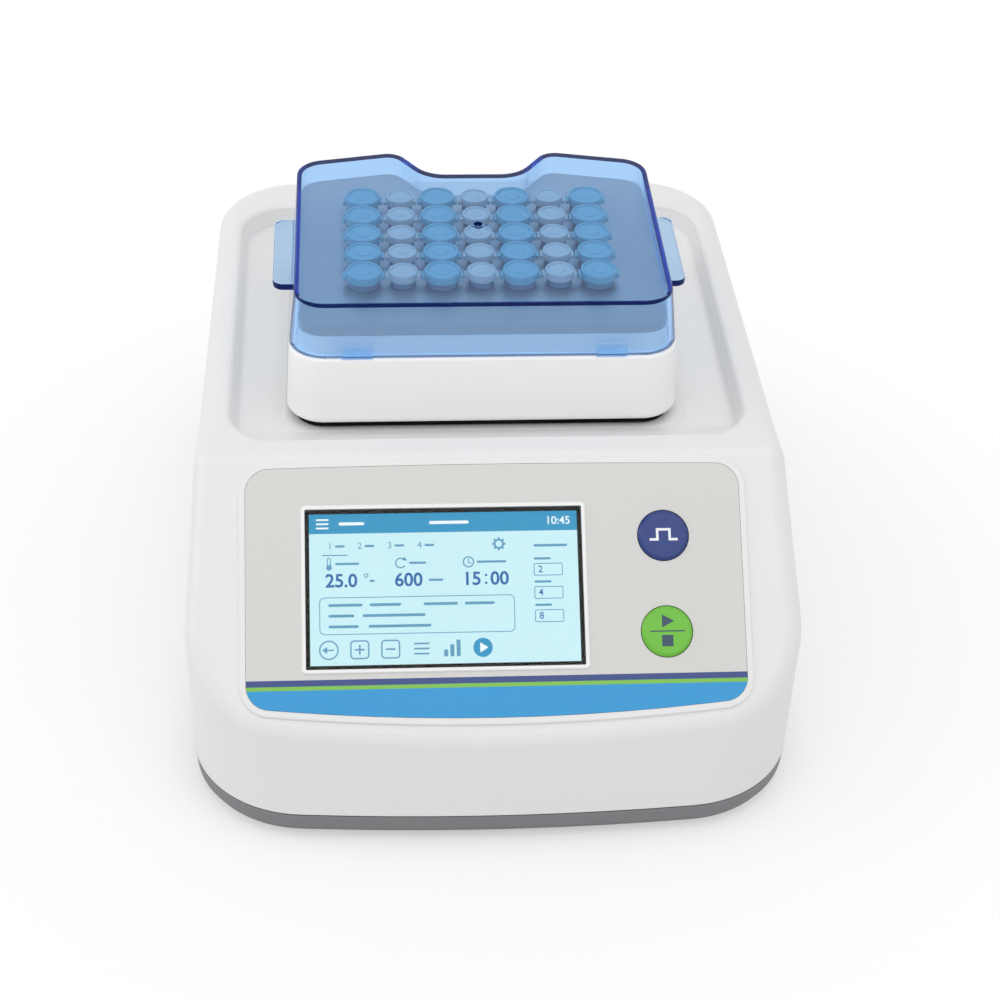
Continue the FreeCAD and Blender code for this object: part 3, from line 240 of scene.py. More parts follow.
class DryBlockKeys(bpy.types.PropertyGroup):
    """The two round keys and the signs on them."""

    upper: colour("Upper key", "Upper key", 40, 60, 126)
    lower: colour("Lower key", "Lower key", 112, 190, 62)
    light_sign: colour("Light sign", "Sign on the upper key", 236, 240, 246)
    dark_sign: colour("Dark sign", "Sign on the lower key", 44, 70, 92)
    switches: colour("Switches", "Switches under the keys", 36, 36, 38)
    line: length("Line", "Width of the drawn lines", 0.0009)


class DryBlockTubes(bpy.types.PropertyGroup):
    """Tubes in the block: their grid, sizes and plastics."""

    column_pitch: length("Column pitch", "Spacing of the columns", 0.0144)
    row_pitch: length("Row pitch", "Spacing of the rows", 0.0138)
    rows: count("Rows", "Tubes in each column", 5)
    large_columns: count("Large columns", "Columns of large tubes", 4)
    small_columns: count("Small columns", "Columns of small tubes", 3)
    cap_height: length("Cap height", "Height of a cap", 0.0033)
    collar_height: length("Collar height", "Height of the collar under a cap", 0.0027)
    collar_step: length("Collar step", "How far a collar stands inside its cap", 0.0007)
    cap_wall: length("Cap wall", "Width of the ring round a cap's sunk middle", 0.0010)
    cap_dish: length("Cap dish", "Depth of a cap's sunk middle", 0.0006)
    edge: length("Edge", "Rounding of a cap's edges", 0.00035)
    tab_width: length("Tab width", "Width of a hinge or thumb tab", 0.0040)
    large_body: length("Large body", "Radius of a large tube's body", 0.0052)
    small_body: length("Small body", "Radius of a small tube's body", 0.0037)
    tip_radius: length("Tip", "Radius of a tube's tip", 0.0018)
    taper: amount("Taper", "Share of a tube's length that tapers", 0.42)
    large_cap: colour("Large caps", "Blue plastic of the large caps", 122, 172, 184)
    small_cap: colour("Small caps", "Clear plastic of the small caps", 188, 191, 190)
    # Partly painted shade: the collars and bodies are clear plastic, given a dark grey-blue for the
    # shade of the holes seen through them
    body: colour("Tube body", "Plastic of the collars and bodies", 112, 130, 144)


class DryBlockStack(bpy.types.PropertyGroup):
    """Block, cover, skirt and lid."""

    cover: colour("Cover", "White cover round the block", 248, 248, 248)
    skirt: colour("Skirt", "Black strip under the cover", 10, 10, 11)
    foam: colour("Foam", "Insulation between block and cover", 58, 60, 63)
    metal: colour("Block", "Anodised aluminium of the block", 190, 191, 193)
    lid_tint: colour("Lid tint", "What the lid's plastic lets through", 42, 192, 245)
    lid_depth: number("Lid density", "How fast light fades in the lid, per metre", 185.0, min=0.0)
    lid_index: number("Lid index", "Refraction; a low one mirrors less", 1.33, min=1.0, max=2.0)
    lid_shine: colour("Lid shine", "Tint of the lid's reflections", 160, 188, 255)
    # Painted light: the lid is given a faint glow of its own, which lightens its dark edges; the
    # next value is the glow's strength
    lid_painted_glow: colour("Lid edge", "Faint light of the lid's own, for its dark edges", 89, 124, 255)
    lid_glow: amount("Lid glow", "Strength of the lid's own light", 0.014)


class DryBlockScrews(bpy.types.PropertyGroup):
    """Pan-head screws with a cross recess."""

    steel: colour("Steel", "Steel of the screws", 150, 150, 152)
    head: length("Head", "Diameter of a head", 0.0056)
    rise: length("Rise", "Height of a head", 0.0018)
    shank: length("Shank", "Diameter of a shank", 0.0029)
    recess: length("Recess", "Depth of the cross", 0.0011)


class DryBlockRear(bpy.types.PropertyGroup):
    """Fittings of the rear wall."""

    plastic: colour("Plastic", "Black plastic of the fittings", 30, 30, 32)
    rocker: colour("Rocker", "Black plastic of the rocker", 22, 22, 24)
    blades: colour("Fan", "Black plastic of the fan", 30, 30, 33)
    marks: colour("Marks", "White marks of the switch", 226, 226, 224)
    pins: colour("Pins", "Plated metal of the inlet's pins", 196, 196, 192)
    pin_width: length("Pin width", "Width of a pin of the inlet", 0.0021)
    pin_height: length("Pin height", "Height of a pin of the inlet", 0.0041)
    pin_round: length("Pin round", "Rounding of a pin's edges", 0.0004)
    pin_spacing: length("Pin spacing", "Outer pins to the middle one", 0.0070)
    pin_stagger: length("Pin stagger", "Pins above or below the socket's middle", 0.0020)
    pin_front: length("Pin front", "End of the pins behind the wall's face", 0.0029)
    pin_length: length("Pin length", "Length of the pins that shows", 0.0130)
    socket_rise: length("Socket rise", "Socket's middle above the inlet's middle", 0.00535)
    mark_size: length("Mark size", "Height of a switch mark", 0.0032)
    mark_height: length("Mark height", "Height of the print on the rocker", 0.00005)
    mark_sink: length("Mark sink", "How far the print goes into the rocker", 0.00001)
    mark_place: amount("Mark place", "Marks from the rocker's middle, share of its height", 0.27)
    fan_screws: length("Fan screws", "Fan's middle to its screws, each way", 0.0250)


class DryBlockInside(bpy.types.PropertyGroup):
    """Boards, drive and heat parts inside the housing."""

    aluminium: colour("Aluminium", "Milled plates and heat sink", 190, 193, 196)
    steel: colour("Steel", "Shafts, bearings, posts and screws", 158, 160, 163)
    motor: colour("Motor", "Shell of the motor", 120, 122, 126)
    laminate: colour("Laminate", "Green boards", 34, 92, 60)
    parts: colour("Board parts", "Dark parts on the boards", 46, 45, 48)
    ceramic: colour("Ceramic", "Plates of the thermoelectric modules", 236, 234, 228)
    foam: colour("Foam", "Insulation foam", 60, 62, 65)
    board: length("Board", "Thickness of a board", 0.0016)


class DryBlockStage(bpy.types.PropertyGroup):
    """Camera, floor and light."""

    camera_place: spot("Camera", "Place of the camera", -0.04632, -0.70011, 0.57208)
    yaw: angle("Yaw", "Turn of the camera to the right", 4.438)
    pitch: angle("Pitch", "Tilt of the camera down", 36.906)
    roll: angle("Roll", "Roll of the camera", 1.782)
    sensor: number("Sensor", "Width of the camera's sensor, in millimetres", 36.0, min=1.0)
    lens: number("Lens", "Focal length of the camera", 79.616, min=1.0, unit="CAMERA")
    floor: colour("Floor", "Floor under the object", 246, 246, 246)
    floor_half: length("Floor half", "Half the width of the floor", 6.0)
    floor_gap: length("Floor gap", "Floor below the feet", 0.00005)
    shadow_start: length("Shadow start", "Where the floor starts to fade to white", 0.13)
    shadow_end: length("Shadow end", "Where the floor is white", 0.27)
    near_glow: amount("Near glow", "Share of white in the floor near the object", 0.45)
    key_light: power("Key light", "Power of the large lamp", 7.5)
    key_place: spot("Key place", "Place of the large lamp", 0.1, -0.4, 1.5)
    key_size: length("Key size", "Diameter of the large lamp", 1.6)
    side_light: power("Side light", "Power of the lamp on the left", 3.0)
    side_place: spot("Side place", "Place of the lamp on the left", -1.3, 0.1, 0.75)
    side_size: length("Side size", "Diameter of the lamp on the left", 0.8)
    lamp_aim: length("Lamp aim", "Height that the lamps look at", 0.08)
    fill: amount("Fill", "Strength of the even light all round", 0.69)


GROUPS = {
    "dryblock_" + group.__name__.removeprefix("DryBlock").lower(): group
    for group in (
        DryBlockHousing, DryBlockPanel, DryBlockScreen, DryBlockKeys, DryBlockTubes,
        DryBlockStack, DryBlockScrews, DryBlockRear, DryBlockInside, DryBlockStage,
    )
}


# Shader groups and finishes

# Roughness, size of the grain in metres, relief of the grain and drift of shade
MOULDINGS = {
    "shell_white": (0.38, 0.0007, 0.10, 0.02),
    "tray_grey": (0.5, 0.0007, 0.2, 0.05),
    "foot_rubber": (0.75, 0.0004, 0.3, 0.2),
    "printed_film": (0.42, 0.0004, 0.05, 0.02),
    "bezel_white": (0.35, 0.0005, 0.06, 0.02),
    "display_frame": (0.5, 0.0007, 0.12, 0.04),
    "glass_edge_print": (0.7, 0.0004, 0.0, 0.1),
    "key": (0.32, 0.0005, 0.04, 0.05),
    "switch_black": (0.45, 0.0007, 0.12, 0.04),
    "sign_white": (0.4, 0.0005, 0.03, 0.02),
    "sign_dark": (0.4, 0.0005, 0.03, 0.05),
    "cover_white": (0.36, 0.0007, 0.08, 0.02),
    "skirt_black": (0.8, 0.0008, 0.25, 0.2),
    "insulation_foam": (0.85, 0.0015, 0.6, 0.25),
    "tube_plastic": (0.3, 0.0006, 0.05, 0.06),
    "mains_inlet_plastic": (0.4, 0.0006, 0.12, 0.1),
    "fuse_drawer_plastic": (0.45, 0.0006, 0.12, 0.1),
    "switch_body_plastic": (0.35, 0.0006, 0.12, 0.1),
    "rocker_plastic": (0.3, 0.0006, 0.06, 0.1),
    "fan_frame_plastic": (0.5, 0.0008, 0.15, 0.1),
    "fan_rotor_plastic": (0.42, 0.0008, 0.1, 0.1),
    "switch_mark_white": (0.5, 0.0005, 0.03, 0.03),
    "laminate": (0.4, 0.002, 0.05, 0.06),
    "module_ceramic": (0.6, 0.001, 0.1, 0.05),
    "frame_foam": (0.9, 0.0015, 0.6, 0.25),
}

# Roughness, lines per metre along each axis, and relief of the lines
METALS = {
    "block_aluminium": (0.42, (90.0, 90.0, 4000.0), 0.05),
    "aluminium": (0.4, (60.0, 2600.0, 2600.0), 0.06),
    "steel": (0.28, (2600.0, 2600.0, 120.0), 0.06),
    "screw_steel": (0.35, (60.0, 2600.0, 2600.0), 0.06),
    "motor_shell": (0.4, (2000.0, 2000.0, 60.0), 0.06),
    "pin_metal": (0.3, (900.0, 120.0, 900.0), 0.06),
}


def set_inputs(node, values):
    """Sets a node's inputs: a socket is linked, anything else is a value."""
    for slot, value in values.items():
        if isinstance(value, bpy.types.NodeSocket):
            node.id_data.links.new(value, node.inputs[slot])
        else:
            node.inputs[slot].default_value = value


def add_node(tree, kind, values, **settings):
    """A new node with its settings and inputs."""
    node = tree.nodes.new(kind)
    for label, value in settings.items():
        setattr(node, label, value)
    set_inputs(node, values)
    return node


def maths(tree, operation, first, second, clamp=False):
    """One Math node; each operand is a number or a socket."""
    values = {0: first, 1: second}
    return add_node(tree, "ShaderNodeMath", values, operation=operation, use_clamp=clamp).outputs[0]


def noise(tree, vector, scale, detail):
    """One Noise Texture node; scale is a number or a socket."""
    values = {"Vector": vector, "Scale": scale, "Detail": detail, "Roughness": 0.5}
    return add_node(tree, "ShaderNodeTexNoise", values).outputs["Fac"]


def object_place(tree):
    """Place of a point in its piece's own coordinates."""
    return tree.nodes.new("ShaderNodeTexCoord").outputs["Object"]


def group_tree(name, inputs, outputs):
    """An empty shader group; inputs are (name, socket kind, default), outputs (name, kind)."""
    tree = bpy.data.node_groups.new(name, "ShaderNodeTree")
    for label, kind, value in inputs:
        socket = tree.interface.new_socket(label, in_out="INPUT", socket_type="NodeSocket" + kind)
        socket.default_value = value
    for label, kind in outputs:
        tree.interface.new_socket(label, in_out="OUTPUT", socket_type="NodeSocket" + kind)
    return tree, tree.nodes.new("NodeGroupInput"), tree.nodes.new("NodeGroupOutput")


def finish_group(name, own_input):
    """An empty group for a finish: what every finish is given, and one input of its own."""
    inputs = [("Colour", "Color", WHITE), own_input]
    inputs += [(label, "Float", 0.1) for label in ("Shade", "Roughness", "Roughness Drift")]
    outputs = [("Colour", "Color"), ("Roughness", "Float"), ("Height", "Float")]
    return group_tree(name, inputs, outputs)


def end_finish(tree, given, result, drift, height):
    """Ends a finish group: shade and roughness follow the drift."""
    shade = maths(tree, "ADD", 1.0, maths(tree, "MULTIPLY", drift, given.outputs["Shade"]))
    values = {0: given.outputs["Colour"], "Scale": shade}
    tone = add_node(tree, "ShaderNodeVectorMath", values, operation="SCALE").outputs[0]
    uneven = maths(tree, "MULTIPLY", drift, given.outputs["Roughness Drift"])
    rough = maths(tree, "ADD", given.outputs["Roughness"], uneven)
    set_inputs(result, {"Colour": tone, "Roughness": rough, "Height": height})
    return tree


def moulded_grain_group():
    """Fine moulded grain with a slow drift of shade."""
    slow_scale, speck_share = 14.0, 0.4
    tree, given, result = finish_group("moulded_grain", ("Grain Size", "Float", 0.0007))
    place = object_place(tree)
    fine = noise(tree, place, maths(tree, "DIVIDE", 1.0, given.outputs["Grain Size"]), 1.0)
    slow = noise(tree, place, slow_scale, 3.0)
    speck = maths(tree, "MULTIPLY", maths(tree, "SUBTRACT", fine, 0.5), speck_share)
    drift = maths(tree, "ADD", maths(tree, "SUBTRACT", slow, 0.5), speck)
    return end_finish(tree, given, result, drift, fine)


def brushed_lines_group():
    """Fine lines of worked metal, drawn out along one direction."""
    tree, given, result = finish_group("brushed_lines", ("Lines", "Vector", (0.0, 0.0, 0.0)))
    values = {0: object_place(tree), 1: given.outputs["Lines"]}
    stretched = add_node(tree, "ShaderNodeVectorMath", values, operation="MULTIPLY").outputs[0]
    lines = noise(tree, stretched, 1.0, 3.0)
    return end_finish(tree, given, result, maths(tree, "SUBTRACT", lines, 0.5), lines)


def two_tone_group():
    """One colour below a level and another above it."""
    inputs = [("Height", "Float", 0.0), ("Level", "Float", 0.0), ("Softness", "Float", 0.1 * MM)]
    inputs += [("Lower", "Color", WHITE), ("Upper", "Color", WHITE)]
    tree, given, result = group_tree("two_tone", inputs, [("Colour", "Color")])
    over = maths(tree, "SUBTRACT", given.outputs["Height"], given.outputs["Level"])
    share = maths(tree, "ADD", maths(tree, "DIVIDE", over, given.outputs["Softness"]), 0.5, True)
    blend = add_node(tree, "ShaderNodeMix", {"Factor": share}, data_type="RGBA")
    tones = {slot.identifier: slot for slot in (*blend.inputs, *blend.outputs)}
    tree.links.new(given.outputs["Lower"], tones["A_Color"])
    tree.links.new(given.outputs["Upper"], tones["B_Color"])
    set_inputs(result, {"Colour": tones["Result_Color"]})
    return tree


def group_node(tree, name, values):
    """A node of a shared shader group, which is built the first time it is asked for."""
    makers = {
        "moulded_grain": moulded_grain_group,
        "brushed_lines": brushed_lines_group,
        "two_tone": two_tone_group,
    }
    group = bpy.data.node_groups.get(name) or makers[name]()
    return add_node(tree, "ShaderNodeGroup", values, node_tree=group)


def opaque(shade):
    """A colour with full cover."""
    return (*shade[:3], 1.0)


def new_finish(name, constants):
    """A node material and its Principled shader, with some of its values set."""
    material = bpy.data.materials.new(name)
    material.use_nodes = True
    shader = material.node_tree.nodes["Principled BSDF"]
    set_inputs(shader, constants)
    return material, material.node_tree, shader


def grouped_finish(name, group, shade, values, depth, relief, constants):
    """A material whose colour, roughness and relief come from one shared group."""
    material, tree, shader = new_finish(name, constants)
    node = group_node(tree, group, {"Colour": opaque(shade), **values})
    bump = add_node(tree, "ShaderNodeBump", {
        "Distance": depth, "Strength": relief, "Height": node.outputs["Height"],
    })
    set_inputs(shader, {
        "Base Color": node.outputs["Colour"],
        "Roughness": node.outputs["Roughness"],
        "Normal": bump.outputs["Normal"],
    })
    return material, tree, node


def grained(name, kind, shade, constants, grain=None, depth=GRAIN_DEPTH, uneven=0.12):
    """A finish of the table of mouldings: material, node tree and the node of its grain."""
    roughness, own_grain, relief, drift = MOULDINGS[kind or name]
    values = {"Grain Size": grain or own_grain, "Shade": drift}
    values.update({"Roughness": roughness, "Roughness Drift": uneven})
    return grouped_finish(name, "moulded_grain", shade, values, depth, relief, constants)


def moulded(name, shade, kind=None, grain=None, **constants):
    """Moulded plastic, rubber or foam; the kind is its row in the table, or else its name."""
    return grained(name, kind, shade, constants, grain)[0]


def worked_metal(name, shade, kind=None):
    """Milled, drawn or turned metal; the kind is its row in the table, or else its name."""
    roughness, lines, relief = METALS[kind or name]
    values = {"Lines": lines, "Shade": 0.18, "Roughness": roughness, "Roughness Drift": 0.22}
    metal = {"Metallic": 1.0}
    return grouped_finish(name, "brushed_lines", shade, values, LINE_DEPTH, relief, metal)[0]


def seat_coordinates(tree, seat=None):
    """The three coordinates of a point on its piece, or in a seat that lies on the piece."""
    place = object_place(tree)
    if seat is not None:
        slope = seat.to_3x3().inverted()
        values = {"Rotation": slope.to_euler(), "Location": -(slope @ seat.translation)}
        place = add_node(tree, "ShaderNodeMapping", {"Vector": place, **values}).outputs["Vector"]
    return add_node(tree, "ShaderNodeSeparateXYZ", {"Vector": place}).outputs


def layered(name, kind, lower, upper, level, seat=None):
    """Moulded plastic or laminate with another colour above a level."""
    material, tree, node = grained(name, kind, lower, {})
    tones = group_node(tree, "two_tone", {
        "Height": seat_coordinates(tree, seat)["Z"], "Level": level,
        "Lower": opaque(lower), "Upper": opaque(upper),
    })
    set_inputs(node, {"Colour": tones.outputs["Colour"]})
    return material


def lit_finish(name, shade, drift):
    """A lit part of the display: its own light, a little uneven as a backlight is."""
    material, tree, shader = new_finish(name, {
        "Emission Strength": 1.0, "Base Color": (0.01, 0.01, 0.01, 1.0), "Roughness": 0.6,
        "Specular IOR Level": 0.0,
    })
    values = {"Colour": opaque(shade), "Grain Size": 0.004, "Shade": drift}
    glow = group_node(tree, "moulded_grain", values)
    set_inputs(shader, {"Emission Color": glow.outputs["Colour"]})
    return material


def clear_finish(name, smear_scale, smear, **constants):
    """Clear plastic or glass, a little smeared."""
    clear = {"Base Color": WHITE, "Transmission Weight": 1.0}
    material, tree, shader = new_finish(name, {**clear, **constants})
    smears = noise(tree, object_place(tree), smear_scale, 3.0)
    set_inputs(shader, {"Roughness": maths(tree, "MULTIPLY", smears, smear)})
    return material, tree, shader


def blend_shaders(tree, share, first, second):
    """Mixes two shaders and makes the mix the surface."""
    blend = add_node(tree, "ShaderNodeMixShader", {"Fac": share, 1: first, 2: second})
    set_inputs(tree.nodes["Material Output"], {"Surface": blend.outputs["Shader"]})


def seen_directly(tree):
    """One where the camera sees a place, also by a reflection or through a clear piece."""
    rays = tree.nodes.new("ShaderNodeLightPath").outputs
    seen = maths(tree, "MAXIMUM", rays["Is Camera Ray"], rays["Is Transmission Ray"])
    return maths(tree, "MAXIMUM", seen, rays["Is Glossy Ray"])


def paint(node, material):
    """Gives a CAD node its material."""
    slots = solids[node].data.materials
    slots.clear()
    slots.append(material)


# Mesh helpers

def placed(name, data):
    """A new object in the scene."""
    item = bpy.data.objects.new(name, data)
    bpy.context.scene.collection.objects.link(item)
    return item


def finished(name, form, material, body, seat=None, crease=None):
    """A piece from a mesh in place, or from a bmesh and its seat: material, body and slot."""
    mesh = mesh_from(form, name, seat, crease) if isinstance(form, bmesh.types.BMesh) else form
    item = placed(name, mesh)
    mesh.materials.clear()
    mesh.materials.append(material)
    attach(item, body)
    return item


def mesh_from(form, name, seat=None, crease=None):
    """A mesh from a bmesh, moved to its seat, with its normals outward."""
    bmesh.ops.remove_doubles(form, verts=form.verts, dist=WELD)
    bmesh.ops.recalc_face_normals(form, faces=form.faces)
    if seat is not None:
        form.transform(seat)
    if crease is not None:
        for face in form.faces:
            face.smooth = True
        for edge in form.edges:
            if len(edge.link_faces) == 2 and edge.calc_face_angle() > crease:
                edge.smooth = False
    mesh = bpy.data.meshes.new(name)
    form.to_mesh(mesh)
    form.free()
    return mesh


def evaluated_mesh(item):
    """An object's final shape as a plain mesh; the object is removed."""
    bpy.context.view_layer.update()
    final = item.evaluated_get(bpy.context.evaluated_depsgraph_get())
    mesh = bpy.data.meshes.new_from_object(final)
    bpy.data.objects.remove(item)
    return mesh


def arc(centre, radius, start, end, steps=10):
    """Points of an arc, angles in degrees."""
    turn = [math.radians(start + (end - start) * step / steps) for step in range(steps + 1)]
    return [(centre[0] + radius * math.cos(a), centre[1] + radius * math.sin(a)) for a in turn]


def circle(centre, radius, steps=40):
    """Points of a full circle."""
    return arc(centre, radius, 0.0, 360.0, steps)[:-1]


def rounded_box(centre, width, height, corner, steps=6):
    """Points of a rectangle with round corners."""
    x, y = centre
    half_x, half_y = 0.5 * width - corner, 0.5 * height - corner
    points = []
    for sign_x, sign_y, start in ((1, 1, 0), (-1, 1, 90), (-1, -1, 180), (1, -1, 270)):
        middle_x, middle_y = x + sign_x * half_x, y + sign_y * half_y
        points += arc((middle_x, middle_y), corner, start, start + 90, steps)
    return points


def box_points(left, low, right, high):
    """Points of a plain rectangle."""
    return [(left, low), (right, low), (right, high), (left, high)]


def add_loop(form, points, height):
    """New points of an outline at one height."""
    return [form.verts.new((x, y, height)) for x, y in points]


def add_band(form, first, second):
    """Faces between two loops of equal point count; a loop may be one point over and over."""
    for index in range(len(first)):
        after = (index + 1) % len(first)
        corners = (first[index], first[after], second[after], second[index])
        form.faces.new(list(dict.fromkeys(corners)))


def add_plate(form, points, low, high):
    """A thin plate with this outline between two heights."""
    lower, upper = add_loop(form, points, low), add_loop(form, points, high)
    form.faces.new(lower[::-1])
    form.faces.new(upper)
    add_band(form, lower, upper)


def add_ring(form, outer, inner, low, high):
    """A thin ring between two outlines of equal point count."""
    rings = ((outer, low), (outer, high), (inner, high), (inner, low))
    loops = [add_loop(form, points, height) for points, height in rings]
    for first, second in zip(loops, loops[1:] + loops[:1]):
        add_band(form, first, second)


def offset_points(points, distance, closed):
    """A line moved sideways by a distance, with mitred corners."""
    moved = []
    last = len(points) - 1
    for index, point in enumerate(points):
        here = Vector(point)
        before = Vector(points[index - 1]) if closed or index else None
        after = Vector(points[(index + 1) % len(points)]) if closed or index < last else None
        normals = []
        for start, end in ((before, here), (here, after)):
            if start is not None and end is not None:
                along = (end - start).normalized()
                normals.append(Vector((-along.y, along.x)))
        mean = sum(normals, Vector((0.0, 0.0))) / len(normals)
        moved.append(tuple(here + mean * (distance / max(mean.length_squared, MITRE_LIMIT))))
    return moved


def add_line(form, points, width, low, high, closed=False):
    """A drawn line of even width."""
    left = offset_points(points, 0.5 * width, closed)
    right = offset_points(points, -0.5 * width, closed)
    if closed:
        add_ring(form, left, right, low, high)
    else:
        add_plate(form, left + right[::-1], low, high)


def add_number(form, words, size, place, low, high, align, weight):
    """Plain figures as a thin raised print."""
    curve = bpy.data.curves.new("figures", "FONT")
    curve.body = words
    curve.size = size
    curve.align_x = align
    curve.align_y = "CENTER"
    curve.offset = weight
    curve.resolution_u = 6
    curve.extrude = 0.5 * (high - low)
    mesh = evaluated_mesh(placed("figures", curve))
    mesh.transform(Matrix.Translation((place[0], place[1], 0.5 * (low + high))))
    form.from_mesh(mesh)
    bpy.data.curves.remove(curve)
    bpy.data.meshes.remove(mesh)


def turned(profile, steps):
    """A form turned about the upright axis from (radius, height) points."""
    form = bmesh.new()
    loops = []
    for radius, height in profile:
        if radius:
            loops.append(add_loop(form, circle((0.0, 0.0), radius, steps), height))
        else:
            loops.append(add_loop(form, [(0.0, 0.0)], height) * steps)
    for first, second in zip(loops, loops[1:]):
        add_band(form, first, second)
    return form


class DryBlockOperator:
    """What every operator here shares."""

    bl_options = {"REGISTER", "UNDO"}


class DRYBLOCK_OT_housing(DryBlockOperator, bpy.types.Operator):
    """White moulded housing, grey tray and feet"""

    bl_idname = PREFIX + "housing"
    bl_label = "Housing"

    def execute(self, context):
        look = context.scene.dryblock_housing
        paint("upper_housing", moulded("shell_white", look.shell, grain=look.grain))
        paint("base_pan", moulded("tray_grey", look.tray, grain=look.grain))
        paint("rubber_feet", moulded("foot_rubber", look.rubber))
        return {"FINISHED"}


class DRYBLOCK_OT_panel(DryBlockOperator, bpy.types.Operator):
    """Printed film with straight bands, and the white frame round the screen"""

    bl_idname = PREFIX + "panel"
    bl_label = "Panel print"

    # How far the print is measured below and above the band's upper edge
    PRINT_HALF = 20.0 * MM

    def execute(self, context):
        look = context.scene.dryblock_panel
        coat = {"Coat Weight": 0.15, "Coat Roughness": 0.3}
        material, tree, grain = grained(
            "printed_film", None, look.film, coat, depth=LINE_DEPTH, uneven=0.1
        )
        low, high = look.band_top - self.PRINT_HALF, look.band_top + self.PRINT_HALF
        share = add_node(tree, "ShaderNodeMapRange", {
            "Value": seat_coordinates(tree, panel_seat())["Y"], "From Min": low, "From Max": high,
        })
        ramp = add_node(tree, "ShaderNodeValToRGB", {"Fac": share.outputs["Result"]})
        bands = ramp.color_ramp
        bands.interpolation = "CONSTANT"
        dark = look.band_top + look.green_width
        pale = dark + look.navy_width
        stops = (
            (low, look.band), (look.band_top, look.green), (dark, look.navy), (pale, look.film)
        )
        while len(bands.elements) < len(stops):
            bands.elements.new(0.5)
        for element, (height, shade) in zip(bands.elements, stops):
            element.position = (height - low) / (high - low)
            element.color = opaque(shade)
        set_inputs(grain, {"Colour": ramp.outputs["Color"]})
        paint("control_overlay", material)
        paint("screen_bezel", moulded("bezel_white", look.bezel))
        return {"FINISHED"}


def drawn(points):
    """Points of a drawing in millimetres, turned into metres."""
    return [(x * MM, y * MM) for x, y in points]


class ScreenDrawing:
    """One ink of the lit picture: thin shapes drawn in millimetres from the picture's middle."""

    def __init__(self, low, high):
        self.form = bmesh.new()
        self.low, self.high = low * MM, high * MM

    def draw(self, shapes):
        """Draws a table of shapes, which has the rows of each kind."""
        for kind, rows in shapes.items():
            for row in rows:
                getattr(self, kind)(*row)

    def fill(self, *points):
        """A filled outline."""
        add_plate(self.form, drawn(points), self.low, self.high)

    def dot(self, x, y, radius, steps):
        """A filled circle."""
        self.fill(*circle((x, y), radius, steps))

    def bar(self, left, right, height, width):
        """A short round-ended bar."""
        centre = (0.5 * (left + right), height)
        self.fill(*rounded_box(centre, right - left, width, 0.45 * width))

    def line(self, width, *points, closed=False):
        """A line of even width."""
        add_line(self.form, drawn(points), width * MM, self.low, self.high, closed)

    def ring(self, width, x, y, radius, steps):
        """A line round a circle."""
        self.line(width, *circle((x, y), radius, steps), closed=True)

    def box(self, width, x, y, wide, tall, corner):
        """A line round a rectangle with round corners."""
        self.line(width, *rounded_box((x, y), wide, tall, corner), closed=True)

    def figures(self, words, size, x, y, weight=0.0, align="LEFT"):
        """Plain figures."""
        place = (x * MM, y * MM)
        add_number(self.form, words, size * MM, place, self.low, self.high, align, weight * MM)

    def finish(self, name, seat, shade, drift=0.05):
        """Puts the drawing on the display."""
        light = lit_finish(name + "_light", shade, drift)
        finished(name, self.form, light, "housing", seat)


